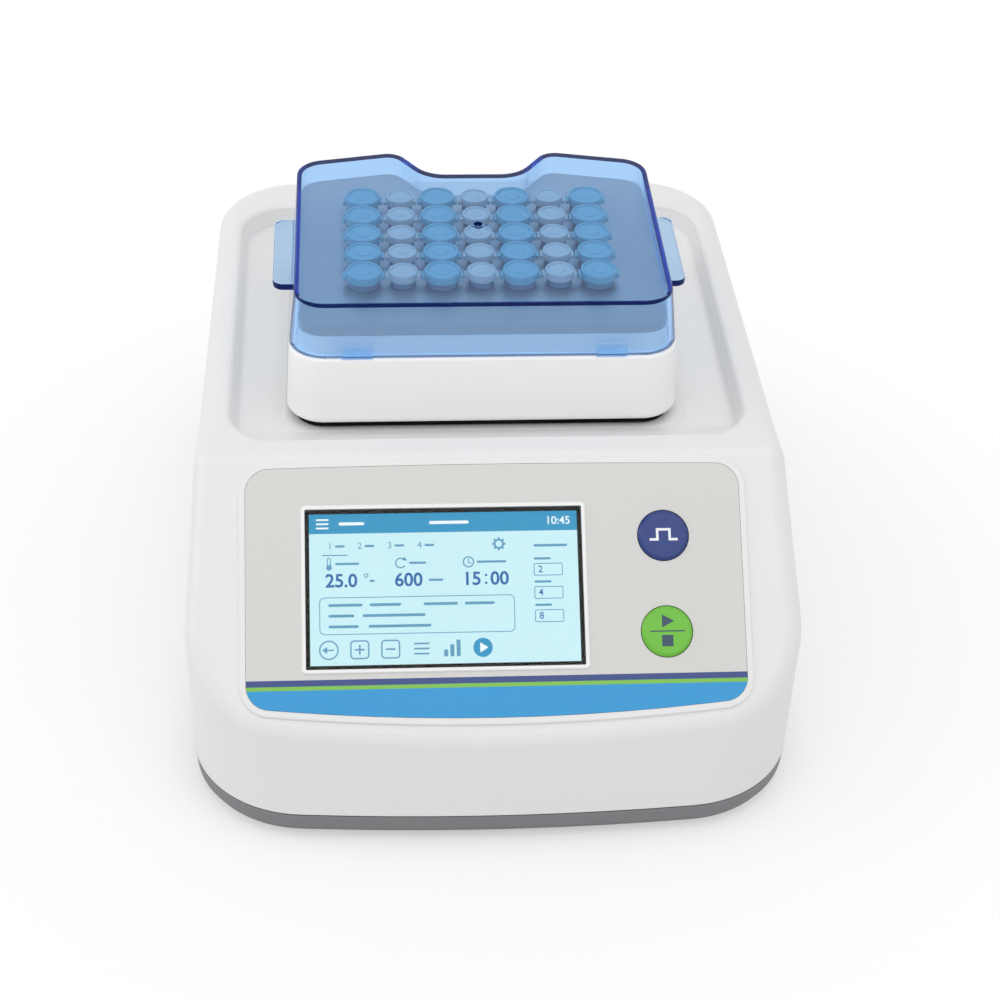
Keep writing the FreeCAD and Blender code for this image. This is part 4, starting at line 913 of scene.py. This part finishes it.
class DRYBLOCK_OT_screen(DryBlockOperator, bpy.types.Operator):
    """Touch glass, its black edge and the lit picture under it"""

    bl_idname = PREFIX + "screen"
    bl_label = "Screen"

    # Heights of the layers under the glass's face, in millimetres
    GROUND = (-1.76, -1.70)
    DRAWN = (-1.69, -1.65)
    LIGHT = (-1.64, -1.61)
    MASK = (-1.60, -1.00)
    SHEET = (-0.90, 0.00)

    # Corner of the glass and its gap to the black edge, in millimetres
    CORNER, GAP = 0.6, 0.05

    # The picture, in millimetres from its middle: each kind of shape is a method of
    # ScreenDrawing, and each row has the values for it
    START = (13.0, -21.4)
    WHEEL = (19.5, 15.4)
    NUMBERS = {
        "figures": (
            ("25.0", 6.6, -42.0, 2.9, 0.14), ("600", 6.6, -17.6, 2.9, 0.14),
            ("15", 6.6, 6.4, 2.9, 0.14), ("00", 6.6, 16.2, 2.9, 0.14),
            ("2", 3.4, 33.2, 6.0, 0.03), ("4", 3.4, 33.2, -2.3, 0.03),
            ("8", 3.4, 33.2, -10.6, 0.03),
        ),
        "dot": ((14.7, 1.5, 0.45, 16), (14.7, 4.3, 0.45, 16)),
    }
    SIGNS = {
        "figures": (
            ("1", 3.4, -41.0, 15.4), ("2", 3.4, -30.6, 15.4),
            ("3", 3.4, -20.0, 15.4), ("4", 3.4, -9.4, 15.4),
        ),
        "bar": (
            # Beside the numbered tabs, and under the first
            (-38.4, -35.0, 15.4, 0.8), (-28.0, -24.6, 15.4, 0.8), (-17.4, -14.0, 15.4, 0.8),
            (-6.8, -3.4, 15.4, 0.8), (-43.0, -34.0, 12.2, 0.4),
            # Over the readings and after them
            (-38.4, -30.0, 9.1, 0.8), (-12.4, -6.4, 9.1, 0.8), (11.6, 22.0, 9.1, 0.8),
            (-26.4, -24.6, 2.9, 0.8), (-5.6, -0.4, 2.9, 0.8),
            # Settings
            (-41.0, -29.0, -5.6, 1.0), (-26.5, -15.5, -5.6, 1.0), (-7.5, 4.5, -5.6, 1.0),
            (7.0, 17.5, -5.6, 1.0), (-41.0, -32.0, -9.4, 1.0), (-29.0, -7.0, -9.4, 1.0),
            (-41.0, -30.5, -13.2, 1.0), (-27.0, -5.0, -13.2, 1.0),
            # Over the small boxes
            (31.8, 43.8, 14.6, 0.9), (31.8, 37.8, 9.9, 0.8), (31.8, 37.8, 1.6, 0.8),
            (31.8, 37.8, -6.7, 0.8),
        ),
        "box": (
            # Thermometer, settings, three small boxes, add, take away
            (0.35, -40.6, 9.7, 1.1, 3.0, 0.5), (0.3, -9.8, -9.4, 68.5, 13.0, 1.8),
            (0.3, 36.8, 6.0, 10.0, 4.2, 0.4), (0.3, 36.8, -2.3, 10.0, 4.2, 0.4),
            (0.3, 36.8, -10.6, 10.0, 4.2, 0.4),
            (0.5, -30.2, -21.4, 6.2, 6.2, 1.2), (0.5, -19.4, -21.4, 6.2, 6.2, 1.2),
        ),
        "ring": (
            # Wheel, clock, degree sign, back
            (0.7, *WHEEL, 1.5, 24), (0.45, 8.6, 9.1, 1.8, 24),
            (0.35, -27.6, 4.8, 0.65, 16), (0.5, -41.0, -21.4, 3.2, 40),
        ),
        "dot": ((-40.6, 7.8, 1.0, 20),),
        "line": (
            # Turning arrow, hands of the clock, back
            (0.45, *arc((-15.4, 9.1), 1.7, 40, 330, 20)),
            (0.35, (8.6, 10.4), (8.6, 9.0), (9.6, 8.5)),
            (0.5, (-39.2, -21.4), (-42.6, -21.4)),
            # Add, take away, list
            (0.6, (-31.9, -21.4), (-28.5, -21.4)), (0.6, (-30.2, -21.1), (-30.2, -19.7)),
            (0.6, (-30.2, -23.1), (-30.2, -21.7)), (0.6, (-21.1, -21.4), (-17.7, -21.4)),
            (0.6, (-11.2, -23.2), (-5.8, -23.2)), (0.6, (-11.2, -21.4), (-5.8, -21.4)),
            (0.6, (-11.2, -19.6), (-5.8, -19.6)),
            # Teeth of the wheel
            *zip([0.7] * 8, circle(WHEEL, 1.6, 8), circle(WHEEL, 2.4, 8)),
        ),
        "fill": (
            # Tips of the turning arrow and of back, then the levels
            ((-14.8, 10.1), (-13.0, 9.9), (-14.1, 11.4)),
            ((-43.4, -21.4), (-41.6, -22.6), (-41.6, -20.2)),
            box_points(-0.7, -24.3, 0.7, -21.9), box_points(1.5, -24.3, 2.9, -20.1),
            box_points(3.7, -24.3, 5.1, -18.5),
        ),
    }

    def execute(self, context):
        look = context.scene.dryblock_screen
        seat = panel_seat() @ Matrix.Translation((middle_of("touch_glass").x, 0.0, 0.0))
        wide, tall, header = 0.5 * look.width / MM, 0.5 * look.height / MM, look.header / MM
        ground = ScreenDrawing(*self.GROUND)
        ground.fill(*box_points(-wide, -tall, wide, tall))
        ground.finish("screen_ground", seat, look.ground, 0.08)
        bar = ScreenDrawing(*self.DRAWN)
        bar.fill(*box_points(-wide, tall - header, wide, tall))
        bar.dot(*self.START, 3.4, 40)
        bar.finish("screen_header", seat, look.bar)
        ink = ScreenDrawing(*self.DRAWN)
        ink.draw(self.NUMBERS)
        ink.finish("screen_numbers", seat, look.ink)
        faint = ScreenDrawing(*self.DRAWN)
        faint.draw(self.SIGNS)
        faint.finish("screen_signs", seat, look.faint)
        light = ScreenDrawing(*self.LIGHT)
        self.light_signs(light, tall - 0.5 * header)
        light.finish("screen_light_signs", seat, look.light)
        self.glass(look, seat)
        paint("display_module", moulded("display_frame", look.frame))
        return {"FINISHED"}

    def light_signs(self, light, height):
        """White signs: a menu, two bars and the time on the upper bar, and the start triangle."""
        x, y = self.START
        rows = (height - 1.5, height, height + 1.5)
        light.draw({
            "line": [(0.6, (-45.0, row), (-40.6, row)) for row in rows],
            "bar": ((-37.0, -28.0, height, 1.1), (-5.0, 9.0, height, 1.1)),
            "figures": (("10:45", 4.0, 45.2, height, 0.04, "RIGHT"),),
            "fill": (((x - 1.0, y - 1.8), (x + 1.9, y), (x - 1.0, y + 1.8)),),
        })

    def glass(self, look, seat):
        """Black printed edge and the clear sheet over it."""
        corner, gap = self.CORNER * MM, self.GAP * MM
        low, high = reach("touch_glass", seat.col[1].to_3d())
        width, height = span("touch_glass", 0), high - low
        form = bmesh.new()
        outer = rounded_box((0.0, 0.0), width - 2.0 * gap, height - 2.0 * gap, corner)
        inner = rounded_box((0.0, 0.0), look.width, look.height, gap)
        add_ring(form, outer, inner, self.MASK[0] * MM, self.MASK[1] * MM)
        mask = moulded("glass_edge_print", look.mask, **{"Specular IOR Level": 0.05})
        finished("screen_mask", form, mask, "housing", seat)
        form = bmesh.new()
        outline = rounded_box((0.0, 0.0), width, height, corner)
        add_plate(form, outline, self.SHEET[0] * MM, self.SHEET[1] * MM)
        index = look.glass_index
        clear = clear_finish("touch_sheet_glass", smear_scale=60.0, smear=0.06, IOR=index)[0]
        sheet = finished("touch_sheet", form, clear, "housing", seat)
        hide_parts("touch_glass")


class DRYBLOCK_OT_keys(DryBlockOperator, bpy.types.Operator):
    """The two round keys with a drawn sign on each"""

    bl_idname = PREFIX + "keys"
    bl_label = "Keys"

    # The signs, in millimetres from a key's middle
    PULSE = ((-5.0, -1.6), (-2.2, -1.6), (-2.2, 2.0), (2.2, 2.0), (2.2, -1.6), (5.0, -1.6))
    START = ((-1.8, 1.3), (2.6, 3.6), (-1.8, 5.9))
    DIVIDER = ((-6.2, 0.0), (6.2, 0.0))
    STOP = box_points(-2.0, -5.4, 2.0, -1.4)

    def execute(self, context):
        look = context.scene.dryblock_keys
        shine = {"Coat Weight": 0.1, "Coat Roughness": 0.2, "Specular IOR Level": 0.3}
        paint("pulse_key", moulded("key_navy", look.upper, "key", **shine))
        paint("start_stop_key", moulded("key_green", look.lower, "key", **shine))
        paint("key_switches", moulded("switch_black", look.switches))
        light = moulded("sign_white", look.light_sign)
        dark = moulded("sign_dark", look.dark_sign)
        form = bmesh.new()
        add_line(form, drawn(self.PULSE), look.line, 0.0, SIGN_HEIGHT)
        self.sign("pulse_key", "pulse_key_body", "pulse_sign", form, light)
        form = bmesh.new()
        add_plate(form, drawn(self.START), 0.0, SIGN_HEIGHT)
        add_line(form, drawn(self.DIVIDER), 0.5 * look.line, 0.0, SIGN_HEIGHT)
        add_plate(form, drawn(self.STOP), 0.0, SIGN_HEIGHT)
        self.sign("start_stop_key", "start_stop_key_body", "start_stop_sign", form, dark)
        return {"FINISHED"}

    def sign(self, node, body, name, form, material):
        """Lays a drawn sign on a key's top face."""
        seat = panel_seat()
        inverse = seat.inverted()
        points = [inverse @ vertex.co for vertex in solids[node].data.vertices]
        top = max(point.z for point in points)
        place = seat @ Matrix.Translation((*middle(points).xy, top))
        finished(name, form, material, body, place)


class DRYBLOCK_OT_stack(DryBlockOperator, bpy.types.Operator):
    """Tube block, its cover, skirt, insulation and the clear lid"""

    bl_idname = PREFIX + "stack"
    bl_label = "Block and lid"

    def execute(self, context):
        look = context.scene.dryblock_stack
        paint("block_cover", moulded("cover_white", look.cover))
        paint("block_skirt", moulded("skirt_black", look.skirt, **{"Specular IOR Level": 0.15}))
        paint("tube_block", worked_metal("block_aluminium", look.metal))
        paint("block_insulation", moulded("insulation_foam", look.foam))
        paint("lid", self.acrylic(look))
        return {"FINISHED"}

    def acrylic(self, look):
        """Clear blue plastic: it dims light by its depth, casts no other shadow, and has a faint
        painted glow of its own.
        """
        # Painted light: a faint glow of the lid's own lightens its dark edges
        glow = {"Emission Color": opaque(look.lid_painted_glow), "Emission Strength": look.lid_glow}
        shine = {"IOR": look.lid_index, "Specular Tint": opaque(look.lid_shine)}
        material, tree, shader = clear_finish(
            "lid_acrylic", smear_scale=35.0, smear=0.08, **shine, **glow
        )
        values = {"Color": opaque(look.lid_tint), "Density": look.lid_depth}
        fade = add_node(tree, "ShaderNodeVolumeAbsorption", values)
        set_inputs(tree.nodes["Material Output"], {"Volume": fade.outputs["Volume"]})
        rays = tree.nodes.new("ShaderNodeLightPath").outputs
        clear = tree.nodes.new("ShaderNodeBsdfTransparent").outputs
        blend_shaders(tree, rays["Is Shadow Ray"], shader.outputs["BSDF"], clear["BSDF"])
        return material


def tube_mesh(name, cap, body, tab, depth, look):
    """One small tube with its snap cap, standing with the top of its cap at height zero."""
    edge, tip = look.edge, look.tip_radius
    under = -look.cap_height
    foot = under - look.collar_height
    collar = cap - look.collar_step
    inner = cap - look.cap_wall
    boss = 0.5 * inner
    profile = [(0.0, -depth), (0.6 * tip, 0.1 * tip - depth), (tip, 0.7 * tip - depth)]
    profile += [(body, look.taper * depth - depth), (body, foot)]
    profile += [(collar - edge, foot), (collar, foot + edge), (collar, under)]
    profile += [(cap - edge, under), (cap, under + edge)]
    profile += [(cap, -edge), (cap - 0.3 * edge, -0.3 * edge), (cap - edge, 0.0)]
    profile += [(inner, 0.0), (inner - edge, -look.cap_dish), (boss, -look.cap_dish)]
    profile += [(boss - 0.5 * edge, -0.6 * look.cap_dish), (0.0, -0.6 * look.cap_dish)]
    form = turned(profile, TUBE_STEPS)
    outline = rounded_box((0.0, 0.0), 2.0 * tab, look.tab_width, edge, 3)
    add_plate(form, outline, under + 0.5 * edge, 0.5 * under)
    return mesh_from(form, name, None, CREASE)


def screw_mesh(name, depth, turn, look):
    """One pan-head screw with a cross recess: its seat at the origin, its head turned as asked."""
    half, crown, stem = 0.5 * look.head, 0.3 * look.rise, 0.5 * look.shank
    profile = [(0.0, -depth), (stem, 0.6 * stem - depth), (stem, 0.0)]
    profile += [(half, 0.0), (half, look.rise - crown)]
    profile += [(half - 0.4 * crown, look.rise - 0.3 * crown), (half - crown, look.rise)]
    form = turned(profile, SCREW_STEPS)
    rim = [edge for edge in form.edges if edge.is_boundary]
    arm, blade, draft = 0.6 * half, 0.16 * half, 0.8
    corner = [(arm, -blade), (arm, blade), (blade, blade)]
    points = []
    for _ in range(4):
        points += corner
        corner = [(-y, x) for x, y in corner]
    bottom = look.rise - look.recess
    lip = add_loop(form, points, look.rise)
    floor = add_loop(form, [(draft * x, draft * y) for x, y in points], bottom)
    rim += [form.edges.new(ends) for ends in zip(lip, lip[1:] + lip[:1])]
    bmesh.ops.bridge_loops(form, edges=rim)
    add_band(form, lip, floor)
    form.faces.new(floor)
    return mesh_from(form, name, turn.to_4x4(), CREASE)


def new_tree(name, inputs):
    """An empty Geometry Nodes tree with named inputs, and the identifiers of its input sockets."""
    tree = bpy.data.node_groups.new(name, "GeometryNodeTree")
    sockets = {}
    for label, kind in inputs:
        socket = tree.interface.new_socket(label, in_out="INPUT", socket_type="NodeSocket" + kind)
        sockets[label] = socket.identifier
    tree.interface.new_socket("Geometry", in_out="OUTPUT", socket_type="NodeSocketGeometry")
    given, result = tree.nodes.new("NodeGroupInput"), tree.nodes.new("NodeGroupOutput")
    return tree, sockets, given.outputs, result


def set_out(tree, given, result, points):
    """Ends a tree: one item on every point, made real and given its material."""
    info = add_node(tree, "GeometryNodeObjectInfo", {"Object": given["Item"]})
    values = {"Points": points, "Instance": info.outputs["Geometry"]}
    copies = add_node(tree, "GeometryNodeInstanceOnPoints", values)
    values = {"Geometry": copies.outputs["Instances"]}
    real = add_node(tree, "GeometryNodeRealizeInstances", values)
    values = {"Geometry": real.outputs["Geometry"], "Material": given["Finish"]}
    coat = add_node(tree, "GeometryNodeSetMaterial", values)
    set_inputs(result, {"Geometry": coat.outputs["Geometry"]})


def grid_tree(name):
    """Geometry Nodes tree that sets one item out on a rectangular grid."""
    tree, sockets, given, result = new_tree(name, (
        ("Item", "Object"), ("Finish", "Material"), ("Columns", "Int"), ("Rows", "Int"),
        ("Width", "Float"), ("Depth", "Float"), ("Middle", "Vector"),
    ))
    grid = add_node(tree, "GeometryNodeMeshGrid", {
        "Size X": given["Width"], "Size Y": given["Depth"],
        "Vertices X": given["Columns"], "Vertices Y": given["Rows"],
    })
    values = {"Geometry": grid.outputs["Mesh"], "Translation": given["Middle"]}
    move = add_node(tree, "GeometryNodeTransform", values)
    set_out(tree, given, result, move.outputs["Geometry"])
    return tree, sockets


def places_tree(name):
    """Geometry Nodes tree that sets one item on every point of another object."""
    inputs = (("Item", "Object"), ("Finish", "Material"), ("Places", "Object"))
    tree, sockets, given, result = new_tree(name, inputs)
    points = add_node(tree, "GeometryNodeObjectInfo", {"Object": given["Places"]})
    set_out(tree, given, result, points.outputs["Geometry"])
    return tree, sockets


def grown_mesh(name, tree, sockets, values):
    """Runs a Geometry Nodes tree on an empty mesh and returns the result as a plain mesh."""
    holder = placed(name + "_maker", bpy.data.meshes.new(name + "_maker"))
    modifier = holder.modifiers.new("maker", "NODES")
    modifier.node_group = tree
    for label, value in values.items():
        modifier[sockets[label]] = value
    mesh = evaluated_mesh(holder)
    mesh.name = name
    return mesh


class DRYBLOCK_OT_tubes(DryBlockOperator, bpy.types.Operator):
    """Large and small tubes in their grid"""

    bl_idname = PREFIX + "tubes"
    bl_label = "Tubes"

    def execute(self, context):
        look = context.scene.dryblock_tubes
        centre = joint_named("block_orbit")["pos_m"]
        tree, sockets = grid_tree("tube_grid")
        for node, columns, body, cap_colour in (
            ("large_tubes", look.large_columns, look.large_body, look.large_cap),
            ("small_tubes", look.small_columns, look.small_body, look.small_cap),
        ):
            width = 2.0 * look.column_pitch * (columns - 1)
            depth = look.row_pitch * (look.rows - 1)
            cap = 0.5 * (span(node, 1) - depth)
            tab = 0.5 * (span(node, 0) - width)
            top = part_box(node)[1].z
            level = top - look.cap_height
            # Below the caps the tubes take the body colour: clear plastic with painted shade of the
            # holes seen through it
            plastic = layered(node + "_plastic", "tube_plastic", look.body, cap_colour, level)
            one = tube_mesh(node + "_one", cap, body, tab, span(node, 2), look)
            single = bpy.data.objects.new(node + "_one", one)
            mesh = grown_mesh(node + "_set", tree, sockets, {
                "Item": single,
                "Finish": plastic,
                "Columns": columns,
                "Rows": look.rows,
                "Width": width,
                "Depth": depth,
                "Middle": (centre[0], centre[1], top),
            })
            bpy.data.objects.remove(single)
            item = finished(node + "_set", mesh, plastic, "shaken_block")
            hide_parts(node)
        return {"FINISHED"}


class DRYBLOCK_OT_screws(DryBlockOperator, bpy.types.Operator):
    """Screws under the tray and round the fan"""

    bl_idname = PREFIX + "screws"
    bl_label = "Screws"

    def execute(self, context):
        look = context.scene.dryblock_screws
        low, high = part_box("base_screws")
        seat = low.z + look.rise
        places = self.quarters("base_screws", seat)
        below = Matrix.Rotation(math.pi, 3, "X")
        steel = worked_metal("screw_steel", look.steel)
        maker = places_tree("screw_places")
        under = self.screws("base_screw_set", maker, places, high.z - seat, below, steel)
        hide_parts("base_screws")
        offset = context.scene.dryblock_rear.fan_screws
        fan = joint_named("fan_turn")["pos_m"]
        wall = surface_of("upper_housing")
        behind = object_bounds()[1].y + offset
        places = []
        for x in (fan[0] - offset, fan[0] + offset):
            for z in (fan[2] - offset, fan[2] + offset):
                places.append(first_hit(wall, (x, behind, z), (0.0, -1.0, 0.0)))
        outward = Matrix.Rotation(-0.5 * math.pi, 3, "X")
        self.screws("fan_screw_set", maker, places, look.head, outward, steel)
        return {"FINISHED"}

    def quarters(self, node, height):
        """Middle of each of a node's four solids, one in each quarter of the plan."""
        points = [vertex.co for vertex in solids[node].data.vertices]
        places = []
        for sign_x, sign_y in ((1, 1), (-1, 1), (-1, -1), (1, -1)):
            own = [point for point in points if point.x * sign_x > 0 and point.y * sign_y > 0]
            places.append((*middle(own).xy, height))
        return places

    def screws(self, name, maker, places, depth, turn, steel):
        """One set of equal screws at the given places."""
        look = bpy.context.scene.dryblock_screws
        single = bpy.data.objects.new(name + "_one", screw_mesh(name + "_one", depth, turn, look))
        points = bpy.data.meshes.new(name + "_places")
        points.from_pydata([tuple(place) for place in places], [], [])
        holder = bpy.data.objects.new(name + "_places", points)
        mesh = grown_mesh(name, *maker, {"Item": single, "Finish": steel, "Places": holder})
        bpy.data.objects.remove(single)
        bpy.data.objects.remove(holder)
        return finished(name, mesh, steel, "housing")


class DRYBLOCK_OT_rear(DryBlockOperator, bpy.types.Operator):
    """Mains inlet, fuse drawer, switch and fan on the rear"""

    bl_idname = PREFIX + "rear"
    bl_label = "Rear fittings"

    def execute(self, context):
        look = context.scene.dryblock_rear
        for node in ("mains_inlet", "fuse_drawer", "switch_body"):
            paint(node, moulded(node + "_plastic", look.plastic))
        paint("power_rocker", moulded("rocker_plastic", look.rocker))
        for node in ("fan_frame", "fan_rotor"):
            paint(node, moulded(node + "_plastic", look.blades))
        self.pins(look)
        self.marks(look)
        return {"FINISHED"}

    def pins(self, look):
        """Plated sleeves of the inlet's three flat pins."""
        socket = middle_of("mains_inlet")
        aside, lift = look.pin_spacing, look.pin_stagger
        form = bmesh.new()
        for x, y in ((0.0, lift), (aside, -lift), (-aside, -lift)):
            place = (x, look.socket_rise + y)
            outline = rounded_box(place, look.pin_width, look.pin_height, look.pin_round, 3)
            add_plate(form, outline, -look.pin_front - look.pin_length, -look.pin_front)
        metal = worked_metal("pin_metal", look.pins)
        seat = rear_seat(socket.x, socket.z)
        finished("inlet_pins", form, metal, "housing", seat, CREASE)

    def marks(self, look):
        """Line and ring of the switch, laid on the rocker's hollow face; the ring is pressed in."""
        rocker = middle_of("power_rocker")
        seat = rear_seat(rocker.x, rocker.z)
        tall = span("power_rocker", 2)
        away = look.mark_place * tall
        half, line = 0.5 * look.mark_size, 0.16 * look.mark_size
        form = bmesh.new()
        ring = circle((0.0, away), half - 0.5 * line, 24)
        add_line(form, ring, line, 0.0, look.mark_height, True)
        stroke = [(0.0, half * share - away) for share in (-1.0, -0.5, 0.0, 0.5, 1.0)]
        add_line(form, stroke, line, 0.0, look.mark_height)
        surface = surface_of("power_rocker")
        out = seat.col[2].to_3d()
        for vertex in form.verts:
            above = seat @ Vector((vertex.co.x, vertex.co.y, tall))
            vertex.co = first_hit(surface, above, -out) + out * (vertex.co.z - look.mark_sink)
        white = moulded("switch_mark_white", look.marks)
        finished("switch_marks", form, white, "rocker")


class DRYBLOCK_OT_inside(DryBlockOperator, bpy.types.Operator):
    """Boards, drive, heat sink and plates inside"""

    bl_idname = PREFIX + "inside"
    bl_label = "Inside"

    ALUMINIUM = ("heat_sink", "heating_plate", "drive_frame", "orbit_table")
    STEEL = (
        "eccentric_shaft", "counterweight", "left_idler", "right_idler", "rear_idler",
        "crank_bearing", "idler_bearings", "table_posts", "clamp_screws", "plate_sensor",
    )

    def execute(self, context):
        look = context.scene.dryblock_inside
        seat = panel_seat()
        out = seat.col[2].to_3d()
        behind = reach("display_board", out)[0] - out.dot(seat.translation)
        for node, low, slope in (
            ("main_board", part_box("main_board")[0].z, None),
            ("power_supply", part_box("power_supply")[0].z, None),
            ("display_board", behind, seat),
        ):
            name, level = node + "_laminate", low + look.board
            paint(node, layered(name, "laminate", look.laminate, look.parts, level, slope))
        for node in self.ALUMINIUM:
            paint(node, worked_metal(node + "_aluminium", look.aluminium, "aluminium"))
        for node in self.STEEL:
            paint(node, worked_metal(node + "_steel", look.steel, "steel"))
        paint("drive_motor", worked_metal("motor_shell", look.motor))
        paint("peltier_modules", moulded("module_ceramic", look.ceramic))
        paint("insulation_frame", moulded("frame_foam", look.foam))
        return {"FINISHED"}


class DRYBLOCK_OT_stage(DryBlockOperator, bpy.types.Operator):
    """Pale floor, soft light and the camera"""

    bl_idname = PREFIX + "stage"
    bl_label = "Stage"

    def execute(self, context):
        look = context.scene.dryblock_stage
        context.scene.view_settings.view_transform = "Standard"
        self.floor(look)
        self.world(look)
        self.lamp("key_lamp", look.key_place, look.key_size, look.key_light, look.lamp_aim)
        self.lamp("side_lamp", look.side_place, look.side_size, look.side_light, look.lamp_aim)
        self.camera(look)
        return {"FINISHED"}

    def floor(self, look):
        """A wide pale floor that keeps the object's shadow and fades to white away from it."""
        half = look.floor_half
        corners = [(x, y, -look.floor_gap) for x, y in box_points(-half, -half, half, half)]
        mesh = bpy.data.meshes.new("floor")
        mesh.from_pydata(corners, [], [range(len(corners))])
        item = placed("floor", mesh)
        material, tree, shader = new_finish("floor_white", {
            "Roughness": 0.9, "Base Color": opaque(look.floor), "Specular IOR Level": 0.0,
        })
        away = add_node(tree, "ShaderNodeVectorMath", {0: object_place(tree)}, operation="LENGTH")
        values = {"Value": away.outputs["Value"], "To Min": look.near_glow}
        values.update({"From Min": look.shadow_start, "From Max": look.shadow_end})
        fade = add_node(tree, "ShaderNodeMapRange", values, interpolation_type="SMOOTHSTEP")
        share = maths(tree, "MULTIPLY", seen_directly(tree), fade.outputs["Result"])
        glow = tree.nodes.new("ShaderNodeEmission").outputs
        blend_shaders(tree, share, shader.outputs["BSDF"], glow["Emission"])
        mesh.materials.append(material)
        item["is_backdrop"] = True

    def world(self, look):
        """Even light all round, seen as white."""
        world = bpy.data.worlds.new("studio")
        world.use_nodes = True
        bpy.context.scene.world = world
        tree = world.node_tree
        extra = maths(tree, "MULTIPLY", seen_directly(tree), 1.0 - look.fill)
        strength = maths(tree, "ADD", extra, look.fill)
        set_inputs(tree.nodes["Background"], {"Color": WHITE, "Strength": strength})

    def lamp(self, name, place, size, energy, aim):
        """One large soft lamp that looks at the object."""
        data = bpy.data.lights.new(name, "AREA")
        data.shape = "DISK"
        data.size = size
        data.energy = energy
        item = placed(name, data)
        item.location = place
        way = Vector((0.0, 0.0, aim)) - Vector(place)
        item.rotation_euler = way.to_track_quat("-Z", "Y").to_euler()

    def camera(self, look):
        """The camera, fitted to the photograph."""
        forward = Vector((
            math.sin(look.yaw) * math.cos(look.pitch),
            math.cos(look.yaw) * math.cos(look.pitch),
            -math.sin(look.pitch),
        ))
        level = Vector((math.cos(look.yaw), -math.sin(look.yaw), 0.0))
        upright = level.cross(forward)
        right = math.cos(look.roll) * level + math.sin(look.roll) * upright
        top = -math.sin(look.roll) * level + math.cos(look.roll) * upright
        data = bpy.data.cameras.new("photo_camera")
        data.lens = look.lens
        data.sensor_width = look.sensor
        turn = Matrix((right, top, -forward)).transposed().to_4x4()
        turn.translation = Vector(look.camera_place)
        item = placed("photo_camera", data)
        item.matrix_world = turn
        bpy.context.scene.camera = item


OPERATORS = (
    DRYBLOCK_OT_housing,
    DRYBLOCK_OT_panel,
    DRYBLOCK_OT_screen,
    DRYBLOCK_OT_keys,
    DRYBLOCK_OT_stack,
    DRYBLOCK_OT_tubes,
    DRYBLOCK_OT_screws,
    DRYBLOCK_OT_rear,
    DRYBLOCK_OT_inside,
    DRYBLOCK_OT_stage,
)


class DRYBLOCK_PT_sidebar(bpy.types.Panel):
    """Lists the steps and the values they use"""

    bl_label = "Dry block"
    bl_idname = "DRYBLOCK_PT_sidebar"
    bl_space_type = "VIEW_3D"
    bl_region_type = "UI"
    bl_category = "Dry block"

    def draw(self, context):
        for operator in OPERATORS:
            self.layout.operator(operator.bl_idname)
        for name, group in GROUPS.items():
            box = self.layout.box()
            values = getattr(context.scene, name)
            for label in group.__annotations__:
                box.prop(values, label)


def register():
    for group in GROUPS.values():
        bpy.utils.register_class(group)
    for name, group in GROUPS.items():
        setattr(bpy.types.Scene, name, bpy.props.PointerProperty(type=group))
    for operator in OPERATORS:
        bpy.utils.register_class(operator)
    bpy.utils.register_class(DRYBLOCK_PT_sidebar)


def unregister():
    bpy.utils.unregister_class(DRYBLOCK_PT_sidebar)
    for operator in reversed(OPERATORS):
        bpy.utils.unregister_class(operator)
    for name, group in reversed(GROUPS.items()):
        delattr(bpy.types.Scene, name)
        bpy.utils.unregister_class(group)


def main():
    register()
    for operator in OPERATORS:
        getattr(bpy.ops.dryblock, operator.bl_idname.removeprefix(PREFIX))()


if __name__ == "__main__":
    main()
